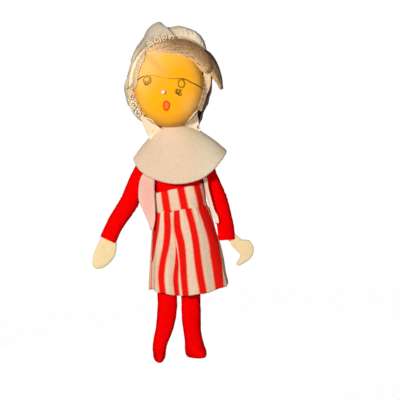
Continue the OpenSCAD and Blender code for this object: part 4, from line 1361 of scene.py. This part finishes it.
# where the red stripes' edges lie across the front, at six heights from the waist to the hem
ROWS = np.linspace(0, 1, 6)
NODE_L = ([-22.3, -24.2, -25.6, -27.8, -29.2, -29.6], [-16.9, -19.0, -22.3, -25.8, -28.2, -28.8], [-14.1, -14.8, -16.8, -20.1, -22.3, -22.2],
          [-9.6, -10.1, -12.4, -15.9, -18.1, -18.1], [-6.5, -6.3, -7.4, -9.2, -11.8, -11.9], [-2.5, -2.3, -3.8, -6.4, -8.4, -8.6])
Q_L = (-2.2, -1.8, -1.2, -0.8, -0.2, 0.2)
NODE_R = ([-6.4, -7.4, -5.9, -5.7, -5.9, -5.7], [-2.6, -2.6, -0.8, -0.9, -1.5, -1.6], [1.9, 4.0, 5.2, 5.4, 6.1, 7.2],
          [6.5, 8.6, 10.0, 10.4, 11.1, 12.1], [11.6, 14.7, 17.0, 17.6, 18.4, 19.0], [18.3, 20.8, 22.9, 23.0, 23.4, 23.3])
Q_R = (0.8, 1.2, 1.8, 2.2, 2.8, 3.2)
PLEAT = [-8.0, -8.6, -7.0, -6.4, -7.3, -7.6]


def make_skirt(side):
    NV, NU = 84, 190
    vs = np.linspace(0, 1, NV)
    P = np.zeros((NV, NU, 3))
    UV = np.zeros((NV, NU, 2))
    fine = np.linspace(0, 1, 1601)
    for i, v in enumerate(vs):
        x, y, z = skirt_base(fine, np.full_like(fine, v))
        S = np.r_[0, np.cumsum(np.hypot(np.diff(x), np.diff(y)))]
        fr = (fine > 0.27) & (fine < 0.73)
        xf, uf, Sf = x[fr], fine[fr], S[fr]
        xp = float(crp(PLEAT, [v])[0, 0])
        up = float(np.interp(xp, xf, uf))
        if side == "left":
            over = 1.0 + 1.4 * v
            u = np.linspace(0, float(np.interp(xp + over, xf, uf)), NU)
            nodes, Q = NODE_L, Q_L
        else:
            u = np.linspace(up, 1, NU)
            nodes, Q = NODE_R, Q_R
        X = np.interp(u, fine, x)
        Y = np.interp(u, fine, y)
        Z = np.interp(u, fine, z)
        # the cloth stands out a little at the right hip
        wide = float(np.interp(v, [0, 0.08, 0.2, 0.35, 0.5, 0.7, 0.85, 1], [0.4, 1.6, 2.0, 2.0, 2.9, 2.8, 2.1, 2.1])) * sm(15, 26, X)
        SS = np.interp(u, fine, S)
        ns = np.array([np.interp(float(crp(nd, [v])[0, 0]), xf, Sf) for nd in nodes])
        q = np.interp(SS, ns, Q)
        pitch = 12.3
        q = np.where(SS < ns[0], Q[0] + (SS - ns[0]) / pitch, q)
        q = np.where(SS > ns[-1], Q[-1] + (SS - ns[-1]) / pitch, q)
        # outward direction
        nx, ny = np.gradient(Y), -np.gradient(X)
        L = np.maximum(np.hypot(nx, ny), 1e-9)
        nx, ny = nx / L, ny / L
        if (nx * (X + 0.6) + ny * Y).sum() < 0:
            nx, ny = -nx, -ny
        a = (u - 0.5) * 344
        fold = v ** 1.1 * (0.85 * np.sin(np.radians(a) * 7.0 + 0.6) + 0.45 * np.sin(np.radians(a) * 13.0 + 2.0)) * np.where(np.abs(a) < 60, 0.55, 1.15)
        gather = 0.28 * np.exp(-(v / 0.16) ** 2) * np.sin(np.radians(a) * 34)
        off = fold + gather
        if side == "left":
            dd = xp - X
            inn = (0.7 + 2.9 * v ** 1.0) * np.where(Y < 0, sm(7.5 + 2 * v, 0.0, dd), 0)
            off = off * np.where(Y < 0, sm(0, 6, dd), 1) - inn
        else:
            dd = X - xp
            lip = np.where(Y < 0, np.exp(-(dd / (2.4 + 1.5 * v)) ** 2), 0)
            off = off + lip * (0.25 + 1.1 * v)
        sag = 0.4 * np.sin(np.radians(a) * 9 + 1.0)
        P[i] = np.stack([X + nx * off + wide, Y + ny * off, Z + sag * v * np.clip((X + 30) / 6, 0, 1)], 1)
        UV[i, :, 0] = q
        UV[i, :, 1] = -v * 5.0
    V, F, src = thick(P, 1.05)
    n0, n1 = NU * NV, 2 * NU * NV
    if np.hypot(V[:n0, 0], V[:n0, 1]).mean() < np.hypot(V[n0:n1, 0], V[n0:n1, 1]).mean():
        V, F, src = thick(P, 1.05, flip=True)
    o = build("apron_skirt_" + side, V, F, m_stripe, uv=UV.reshape(-1, 2)[src])
    if side == "left":
        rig.replaces(o, "apron_skirt")
    else:
        o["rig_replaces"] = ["apron_skirt"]
    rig.slot(o, "striped_cotton")
    ar = area_of(o) / 2
    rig.sheet(o, flat=(0.095 if side == "right" else 0.08, 0.066), held="gathered", rests_on=["apron_waistband_cloth"], area=min(ar, 0.99 * 0.066 * (0.095 if side == "right" else 0.08)))
    d = np.array([-0.9, 0, -0.436]) if side == "left" else np.array([0.9, 0, -0.436])
    st = np.array([-8.0, 0, 74.0])
    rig.blend(o, "torso", side + "_upper_leg", start=mv(st), end=mv(st + d * 30.0))
    return o


make_skirt("left")
make_skirt("right")


def make_strap(name, node, rows, col, light, blotch):
    """rows: left edge, right edge, y, z down the front, over the shoulder and down the back"""
    NS, K = 150, 22
    R = np.array(rows, float)
    d = np.r_[0, np.cumsum(np.linalg.norm(np.diff(np.c_[(R[:, 0] + R[:, 1]) / 2, R[:, 2:]], axis=0), axis=1))]
    k = np.interp(np.linspace(0, d[-1], NS), d, np.arange(len(R))) / (len(R) - 1)
    C = crp(R, k)
    mid = np.c_[(C[:, 0] + C[:, 1]) / 2, C[:, 2:]]
    T, U, N = sweep_frames(mid, (1, 0, 0))
    P = np.zeros((NS, K, 3))
    tint = np.zeros((NS, K, 3))
    for j in range(K):
        f = j / (K - 1)
        crown = 1.4 * f * (1 - f)
        x = C[:, 0] * (1 - f) + C[:, 1] * f
        P[:, j] = np.stack([x, C[:, 2] + 0.012 * (x - mid[:, 0]) ** 2, C[:, 3]], 1) + N * (crown + 0.16 * np.sin(k * 30 + f * 4))[:, None]
    X, Y, Z = P[..., 0], P[..., 1], P[..., 2]
    w = (np.exp(-(((X - blotch[0]) / blotch[2]) ** 2 + ((Z - blotch[1]) / blotch[3]) ** 2)) * (Y < 0))[..., None]
    tint = np.array(light) * (1 - w) + np.array(col) * w
    V, F, src = thick(P, 1.0)
    o = build(name, V, F, m_pink, tint=tint.reshape(-1, 3)[src])
    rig.replaces(o, node)
    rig.slot(o, "pale_felt")
    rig.ride(o, "torso")
    ar = area_of(o) / 2
    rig.sheet(o, flat=(0.0105, max(ar / 0.0105, 0.06) * 1.25), held="stretched", rests_on=["body_felt"], area=ar)


make_strap("left_strap_felt", "left_strap",
           [[-24.4, -23.8, -11.6, 100.5], [-26.2, -21.4, -11.8, 107.0], [-28.3, -20.6, -11.8, 113.2], [-30.2, -20.3, -11.6, 118.4],
            [-31.6, -20.1, -11.4, 124.0], [-31.0, -19.8, -11.8, 131.0], [-28.4, -19.2, -12.8, 140.0], [-19.4, -12.2, -11.4, 151.0],
            [-16.2, -9.8, -9.0, 161.0], [-15.4, -9.2, -5.0, 166.6], [-15.2, -9.0, 0.0, 167.8], [-15.0, -8.8, 5.0, 166.6],
            [-14.4, -8.2, 9.2, 161.0], [-13.8, -7.4, 12.0, 150.0], [-13.0, -6.6, 14.0, 136.0], [-12.4, -6.0, 14.8, 118.0]],
           lin(231, 172, 156)[:3], lin(234, 188, 170)[:3], (-25.0, 126, 5.0, 14))
make_strap("right_strap_felt", "right_strap",
           [[24.4, 26.0, -9.0, 100.6], [22.6, 25.9, -9.8, 105.6], [21.2, 23.4, -10.6, 111.0], [19.9, 21.8, -11.4, 118.6],
            [18.8, 20.6, -12.0, 126.4], [17.6, 19.8, -12.6, 135.0], [12.6, 17.0, -12.6, 145.0], [7.8, 13.8, -10.8, 155.0],
            [6.8, 12.8, -8.6, 163.0], [6.4, 12.4, -5.0, 166.6], [6.2, 12.2, 0.0, 167.8], [6.0, 12.0, 5.0, 166.6],
            [5.6, 11.6, 9.2, 161.0], [5.0, 11.0, 12.0, 150.0], [4.4, 10.4, 14.0, 136.0], [4.0, 10.0, 14.8, 118.0]],
           lin(232, 190, 172)[:3], lin(238, 216, 200)[:3], (20.0, 128, 3.0, 14))


def make_bow():
    b = Bag()

    def band(C, w, t=0.7, ref=(0, 0, 1), tint=1.0):
        T, U, N = sweep_frames(C, ref)
        K = 9
        P = np.zeros((len(C), K, 3))
        w = np.broadcast_to(w, (len(C),))
        for j in range(K):
            f = 2 * j / (K - 1) - 1
            P[:, j] = C + U * (w * f)[:, None] + N * (0.3 * (1 - f * f))
        V, F, _ = thick(P, t)
        b.add(V, F, np.ones(3) * tint)
    zc = 107.0
    for sg in (-1, 1):
        a = np.linspace(0, 1, 60)
        ang = a * 2 * math.pi
        x = sg * (2.0 + 10.6 * (1 - np.cos(ang)))
        y = 18.2 + 3.2 * np.sin(ang) * (0.3 + 0.7 * np.sin(ang / 2))
        z = zc + sg * 0.6 * np.sin(ang) + 0.5 * np.cos(ang * 2)
        band(np.stack([x, y, z], 1), 1.6 + 2.0 * np.sin(ang / 2) ** 0.8)
        t = np.linspace(0, 1, 50)
        C = np.stack([sg * (1.6 + 8.2 * t + 0.8 * np.sin(t * 5)), 18.3 + 1.8 * np.sin(t * 3.0) + 0.6 * np.sin(t * 9), zc - 2.2 - 32.0 * t], 1)
        band(C, 1.2 + 2.6 * t, ref=(1, 0.15 * sg, 0.2 * sg), tint=0.97)
    V = []
    for i in range(21):
        for j in range(24):
            p, q = math.pi * i / 20, 2 * math.pi * j / 24
            r = 1 + 0.08 * math.sin(3 * q + 2 * p)
            V.append((3.1 * math.sin(p) * math.cos(q) * r, 18.2 + 2.5 * math.sin(p) * math.sin(q) * r, zc + 3.6 * math.cos(p)))
    b.add(np.array(V), grid_faces(21, 24, True), np.ones(3) * 0.93)
    V, F, T = b.out()
    o = build("apron_bow_ribbon", V, F, m_bow, tint=T)
    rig.replaces(o, "apron_bow")
    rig.slot(o, "pale_felt")
    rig.ride(o, "torso")
    ar = area_of(o) / 2
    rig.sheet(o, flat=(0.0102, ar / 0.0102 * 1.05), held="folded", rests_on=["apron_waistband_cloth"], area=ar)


make_bow()


# ---------------------------------------------------------------------- collar
def collar_pt(a, t, fine):
    c, s = math.cos(a), math.sin(a)
    p = 1.7 if c > 0 else 1.15
    if s < 0:
        rim = (2.1 + 35.3 * c, -3 - 20 * (-s) ** 0.9, 154.9 - (154.9 - 133.2) * (-s) ** p)
    else:
        rim = (2.1 + 35.3 * c, -3 + 24 * s ** 0.9, 154.9 - 14 * s ** 1.5)
    q = (10 * c, 9.4 * s, 176.4)
    x = q[0] + (rim[0] - q[0]) * t
    y = q[1] + (rim[1] - q[1]) * t
    z = q[2] + (rim[2] - q[2]) * t ** 1.25
    return x, y, z


def make_collar():
    NA, NT = 240, 54
    P = np.zeros((NT, NA, 3))
    for i in range(NT):
        t = i / (NT - 1)
        for j in range(NA):
            a = math.pi / 2 + 2 * math.pi * j / NA
            x, y, z = collar_pt(a, t, True)
            w = t ** 1.5
            dz = 0.35 * nz(x, y, z, 0.06, 11) * w * 2 + 0.10 * nz(x, y, z, 0.35, 12)
            dr = w * (0.5 * math.sin(5 * a + 1.0) + 0.3 * math.sin(9 * a)) * (0.3 + 0.7 * (math.sin(a) > 0))
            P[i, j] = (x + dr * 0.3 * math.cos(a), y + dr * 0.5 * math.sin(a), z + dz)
    n = grid_normals(P, True)
    flip = (n[..., 2] < 0).mean() > 0.5
    V, F, src = thick(P, 1.5, close=True, flip=flip)
    col = np.array(lin(222, 197, 167)[:3])
    pinkish = np.array(lin(217, 190, 164)[:3])
    lightc = np.array(lin(224, 208, 180)[:3])
    X, Z = V[:, 0], V[:, 2]
    w = np.exp(-((X + 18) / 12) ** 2)[:, None]
    w2 = np.exp(-((X - 24) / 10) ** 2)[:, None]
    tint = col * (1 - w) + pinkish * w
    tint = tint * (1 - w2) + lightc * w2
    # vertex normals of the whole ring, so that the two halves shade as one
    import bmesh
    me = bpy.data.meshes.new("tmp")
    me.from_pydata(V.tolist(), [], F)
    bm = bmesh.new(); bm.from_mesh(me)
    bmesh.ops.recalc_face_normals(bm, faces=bm.faces)
    bm.normal_update()
    faces = [tuple(v.index for v in f.verts) for f in bm.faces]
    N = np.array([v.normal for v in bm.verts])
    bm.free()
    bpy.data.meshes.remove(me)
    column = src % NA
    half = NA // 2
    for side in ("left", "right"):
        keep = []
        for f in faces:
            cols = {int(column[i]) for i in f}
            if (max(cols) <= half and not (cols == {0})) == (side == "left"):
                keep.append(f)
        used = sorted({i for f in keep for i in f})
        mp = {k: i for i, k in enumerate(used)}
        hf = [tuple(mp[i] for i in f) for f in keep]
        # close the cut so that each half is a solid piece of felt
        edges = {}
        for f in hf:
            for k in range(len(f)):
                e = (f[k], f[(k + 1) % len(f)])
                edges[e] = 1
        nxt = {b: a for a, b in edges if (b, a) not in edges}
        while nxt:
            a0 = next(iter(nxt))
            loop, a = [a0], nxt.pop(a0)
            while a != a0:
                loop.append(a)
                a = nxt.pop(a)
            hf.append(tuple(loop))
        o = build("collar_" + side, V[used], hf, m_collar, tint=tint[used], vnormals=N[used], recalc=False)
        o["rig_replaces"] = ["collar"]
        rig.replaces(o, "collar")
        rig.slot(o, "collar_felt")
        ar = area_of(o) / 2
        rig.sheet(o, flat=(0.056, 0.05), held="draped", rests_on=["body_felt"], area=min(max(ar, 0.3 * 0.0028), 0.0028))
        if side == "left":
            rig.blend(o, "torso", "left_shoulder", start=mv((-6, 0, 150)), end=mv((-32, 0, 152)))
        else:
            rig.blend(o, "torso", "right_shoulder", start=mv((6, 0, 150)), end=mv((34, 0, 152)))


make_collar()


# ---------------------------------------------------------------------- arms
def limb_grid(C, rx, ry, ref, sides, bumps, seed):
    """rings along C; rx and ry are half widths across and front to back"""
    T, U, N = sweep_frames(C, ref)
    ca, sa = squircle(np.arange(sides) * 2 * math.pi / sides)
    G = np.zeros((len(C), sides, 3))
    for i in range(len(C)):
        for j in range(sides):
            d = U[i] * ca[j] * rx[i] + N[i] * sa[j] * ry[i]
            p = C[i] + d
            k = bumps * (0.7 * nz(*p, 0.16, seed) + 0.3 * nz(*p, 0.45, seed + 3))
            G[i, j] = p + d / max(np.linalg.norm(d), 1e-6) * k
    return G


def make_arm(side, path, half, dep, E, ud, hand_dir):
    n = 110
    C = smooth_line(path, n)
    s = np.linspace(0, 1, n)
    rx, ry = crp(half, s)[:, 0], crp(dep, s)[:, 0]
    L = np.r_[0, np.cumsum(np.linalg.norm(np.diff(C, axis=0), axis=1))]
    # rounded shoulder end
    k = np.clip(L / 6.5, 0, 1)
    dome = np.sqrt(np.maximum(1 - (1 - k) ** 2, 0.0016))
    rx, ry = rx * dome, ry * dome
    # creases inside the elbow
    le = L[np.argmin(np.linalg.norm(C - E, axis=1))]
    crease = sum(-0.35 * np.exp(-((L - le - o) / 1.1) ** 2) for o in (-3.2, 0.6, 3.8)) + 0.25 * np.exp(-((L - le) / 7) ** 2)
    G = limb_grid(C, rx + crease, ry + crease * 0.7, (1, 0, 0.2), 48, 0.35, 21 if side == "left" else 33)
    # the cuff: felt edge turned to the inside
    T, U, N = sweep_frames(C, (1, 0, 0.2))
    a = np.arange(48) * 2 * math.pi / 48
    rings = [G]
    for back, f in ((0.0, 0.985), (0.05, 0.90), (1.2, 0.86), (4.5, 0.83)):
        c = C[-1] - T[-1] * back + T[-1] * 0.12
        ring = c + (G[-1] - C[-1]) * f
        rings.append(ring[None])
    A = np.concatenate(rings)
    R = len(A)
    V = A.reshape(-1, 3)
    F = grid_faces(R, 48, True) + [tuple(range(48)), tuple((R - 1) * 48 + k for k in range(48))]
    o = build(side + "_sleeve", V, F, m_red)
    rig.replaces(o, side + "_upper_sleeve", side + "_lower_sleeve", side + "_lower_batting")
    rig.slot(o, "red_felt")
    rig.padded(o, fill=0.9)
    E = np.asarray(E, float)
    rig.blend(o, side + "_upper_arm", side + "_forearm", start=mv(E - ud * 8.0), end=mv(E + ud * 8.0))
    return o


def unit(v):
    v = np.asarray(v, float)
    return v / np.linalg.norm(v)


make_arm("left", [[-21.0, 0, 152.5], [-24.5, 0, 148], [-29.5, -0.5, 140.6], [-34.6, -0.5, 131.2], [-38.8, -0.5, 122.2], [-44.6, -0.8, 114.6], [-51.2, -1.4, 106.2], [-57.6, -2.0, 95.3]],
         [5.6, 6.4, 6.5, 6.8, 7.1, 6.7, 6.4, 6.3], [5.6, 6.5, 6.6, 6.6, 6.6, 6.2, 5.7, 5.2], LE, unit(LW - LS), None)
make_arm("right", [[17.0, 0, 153], [19.6, 0, 148], [22.3, -0.4, 137], [25.6, -0.4, 127], [28.6, -0.6, 116], [30.4, -0.8, 106], [31.7, -1.0, 97], [31.9, -1.0, 87.2]],
         [5.6, 6.3, 6.3, 6.4, 6.6, 6.5, 6.4, 6.4], [5.6, 6.5, 6.6, 6.6, 6.5, 6.1, 5.6, 5.2], RE, unit(RW - RS), None)


def make_hand(side, line, y, t, body):
    L = closed_line(line, 90)
    import bmesh
    bm = bmesh.new()
    top = [bm.verts.new(mv((x, y - t / 2, z))) for x, z in L]
    bot = [bm.verts.new(mv((x, y + t / 2, z))) for x, z in L]
    bm.faces.new(top)
    bm.faces.new(list(reversed(bot)))
    for i in range(len(L)):
        j = (i + 1) % len(L)
        bm.faces.new((top[j], top[i], bot[i], bot[j]))
    bmesh.ops.recalc_face_normals(bm, faces=bm.faces)
    me = bpy.data.meshes.new(side + "_mitten")
    bm.to_mesh(me)
    bm.free()
    me.materials.append(m_hand)
    o = bpy.data.objects.new(side + "_mitten", me)
    SC.collection.objects.link(o)
    remesh(o, 0.00055, 5)
    # padded faces and an edge seam
    me = o.data
    co = np.empty(len(me.vertices) * 3)
    me.vertices.foreach_get("co", co)
    co = co.reshape(-1, 3) * 1000 - SH
    xs, zs = L[:, 0], L[:, 1]
    d = np.sqrt(((co[:, None, 0] - xs) ** 2 + (co[:, None, 2] - zs) ** 2).min(1))
    f = (co[:, 1] - y) / (t / 2)
    puff = 0.35 * np.clip(d / 4.0, 0, 1) - 0.25 * np.exp(-(d / 0.9) ** 2)
    co[:, 1] += np.sign(f) * np.minimum(np.abs(f), 1) * puff
    for i in range(len(co)):
        co[i, 1] += 0.12 * nz(*co[i], 0.3, 3)
    me.vertices.foreach_set("co", ((co + SH) / 1000).ravel())
    me.update()
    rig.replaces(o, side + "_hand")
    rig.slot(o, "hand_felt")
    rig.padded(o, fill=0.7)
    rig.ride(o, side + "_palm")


make_hand("left", [[-62.6, 97.0], [-65.4, 92.6], [-68.1, 87.6], [-70.5, 81.4], [-70.4, 76.4], [-67.6, 74.2], [-63.0, 74.6], [-59.6, 76.4], [-55.8, 79.6], [-53.0, 83.6],
                   [-51.6, 88.9], [-51.2, 93.4], [-51.0, 97.6], [-50.6, 101.4], [-55.6, 103.8], [-60.0, 100.6]], -1.6, 5.2, "left_palm")
make_hand("right", [[33.5, 85.8], [35.4, 82.1], [37.8, 78.9], [39.9, 76.4], [41.3, 74.0], [40.3, 71.4], [38.1, 68.9], [37.6, 67.0], [40.2, 66.6], [43.1, 68.1], [46.2, 69.6], [48.9, 71.6], [50.7, 74.2], [51.5, 77.2], [51.6, 79.8], [50.4, 82.7], [48.3, 85.0], [42.7, 86.4], [37.0, 92.4], [32.0, 94.8], [27.8, 93.4], [27.6, 90.2]], -1.0, 4.8, "right_palm")


# ---------------------------------------------------------------------- legs
def make_leg(side, rows, knee, ankle, turn, toe, heel, fw, knee_dir, split):
    """rows: z, x, y, half width, half depth; below the ankle the rings reach out to the toe and heel"""
    rows = np.array(rows, float)
    zs = np.r_[np.linspace(89, 16, 76), np.linspace(15.2, 3.0, 22), [2.2, 1.5, 0.9, 0.45, 0.15, 0.0]]
    K = 56
    a = np.arange(K) * 2 * math.pi / K
    ca, sa = math.cos(math.radians(turn)), math.sin(math.radians(turn))
    G = np.zeros((len(zs), K, 3))
    for i, z in enumerate(zs):
        cx, cy, hw, hd = (np.interp(z, rows[::-1, 0], rows[::-1, k]) for k in (1, 2, 3, 4))
        f = float(sm(17.5, 5.0, z))
        edge = math.sqrt(max(1 - (1 - min(z / 2.2, 1)) ** 2, 0)) * 0.16 + 0.84
        ax, ay = ankle[0], ankle[1]
        c, s = squircle(a, 2.7 - 0.5 * f)
        ln = np.where(s < 0, toe * (0.42 + 0.58 * float(sm(14, 3, z))), heel * (0.8 + 0.2 * f))
        wfoot = float(np.interp(z, *fw)) * np.where(s < 0, 1 - 0.10 * s * s, 1.0)
        lx = (hw * (1 - f) + wfoot * f * edge) * c
        ly = np.where(s < 0, (hd * (1 - f) + ln * f * edge), (hd * (1 - f) + ln * f * edge)) * s
        rot = f
        px = lx * (1 - rot) + (lx * ca - ly * sa) * rot
        py = ly * (1 - rot) + (lx * sa + ly * ca) * rot
        ccx, ccy = cx * (1 - f) + (ax + (cx - ax) * 0.35) * f, cy * (1 - f) + ay * f
        G[i] = np.stack([ccx + px, ccy + py, np.full(K, z)], 1)
    for i in range(len(zs)):
        if zs[i] < 2:
            continue
        for j in range(K):
            p = G[i, j]
            d = p - np.array([G[i, :, 0].mean(), G[i, :, 1].mean(), p[2]])
            d /= max(np.linalg.norm(d), 1e-6)
            kz = sum(-0.3 * math.exp(-((p[2] - knee[2] - o_) / 1.2) ** 2) for o_ in (-3.5, 0.5, 4.2)) * (d[1] > -0.2)
            G[i, j] = p + d * (0.30 * nz(*p, 0.14, 40) + 0.12 * nz(*p, 0.4, 44) + kz)
    nrm = grid_normals(G, True)
    cen = G.mean(1, keepdims=True)
    if (nrm * (G - cen)).sum() < 0:
        nrm = -nrm
    cut = int(np.argmin(np.abs(zs - split)))
    for part, (i0, i1) in (("legging", (0, cut + 1)), ("foot_felt", (cut, len(zs)))):
        g = G[i0:i1]
        nn = nrm[i0:i1]
        R = len(g)
        V = g.reshape(-1, 3)
        F = grid_faces(R, K, True)
        N = nn.reshape(-1, 3)
        if part == "legging":
            V = np.vstack([V, g[0].mean(0) + [0, 0, 0.6]])
            N = np.vstack([N, [0, 0, 1]])
            F += [(R * K, j, (j + 1) % K) for j in range(K)]
        else:
            V = np.vstack([V, g[-1].mean(0)])
            N[-K:] = unit(np.array([0, 0, -1.0]))
            N = np.vstack([N, [0, 0, -1]])
            F += [(R * K, (R - 1) * K + (j + 1) % K, (R - 1) * K + j) for j in range(K)]
        # faces outwards
        f0 = F[len(F) // 2]
        p = V[list(f0)]
        fn = np.cross(p[1] - p[0], p[2] - p[1])
        vi = N[f0[0]]
        if np.dot(fn, vi) < 0:
            F = [tuple(reversed(f)) for f in F]
        o = build(side + "_" + part, V, F, m_red, vnormals=N, recalc=False)
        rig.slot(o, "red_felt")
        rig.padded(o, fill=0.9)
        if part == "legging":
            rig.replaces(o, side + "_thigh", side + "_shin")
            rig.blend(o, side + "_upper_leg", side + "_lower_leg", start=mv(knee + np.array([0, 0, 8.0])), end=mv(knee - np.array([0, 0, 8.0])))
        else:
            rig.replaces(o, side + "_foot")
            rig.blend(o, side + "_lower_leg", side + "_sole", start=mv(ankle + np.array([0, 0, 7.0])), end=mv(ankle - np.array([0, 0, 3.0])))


make_leg("left", [[89, -12.2, 0, 6.8, 6.8], [80, -13.2, 0, 7.1, 7.1], [60, -15.6, 0, 7.3, 7.2], [49.6, -17.0, 0, 7.4, 7.4], [40.6, -17.3, 0.2, 7.5, 7.3],
                  [31.7, -18.9, 0.4, 7.3, 7.1], [22.9, -21.3, 0.6, 6.9, 6.6], [14.2, -24.6, 0.9, 6.0, 6.0], [5.3, -28.4, 1, 4.9, 5.4], [0, -31.0, 1, 4.4, 5]],
         LK, LA, 2, 14.5, 7.4, ([0, 1, 3, 6, 10, 15], [3.0, 3.8, 4.5, 4.9, 5.2, 5.7]), None, 30.0)
make_leg("right", [[89, 5.0, 0, 6.8, 6.8], [80, 4.2, 0, 7.0, 7.0], [60, 1.8, 0, 7.4, 7.3], [43.5, 0.8, 0, 7.4, 7.4], [30, -0.2, 0.3, 7.3, 7.2],
                   [21, -0.3, 0.6, 6.7, 6.9], [11.9, 0.3, 0.9, 6.8, 6.9], [5.9, 0.6, 1, 7.2, 7.0], [0, 0.7, 1, 7.2, 7.0]],
         RK, RA, 26, 13.5, 7.8, ([0, 1, 3, 6, 10, 15], [5.6, 6.2, 6.8, 7.2, 7.4, 7.1]), None, 30.0)

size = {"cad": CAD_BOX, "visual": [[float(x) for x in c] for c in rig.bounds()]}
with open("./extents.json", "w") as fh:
    json.dump(size, fh)
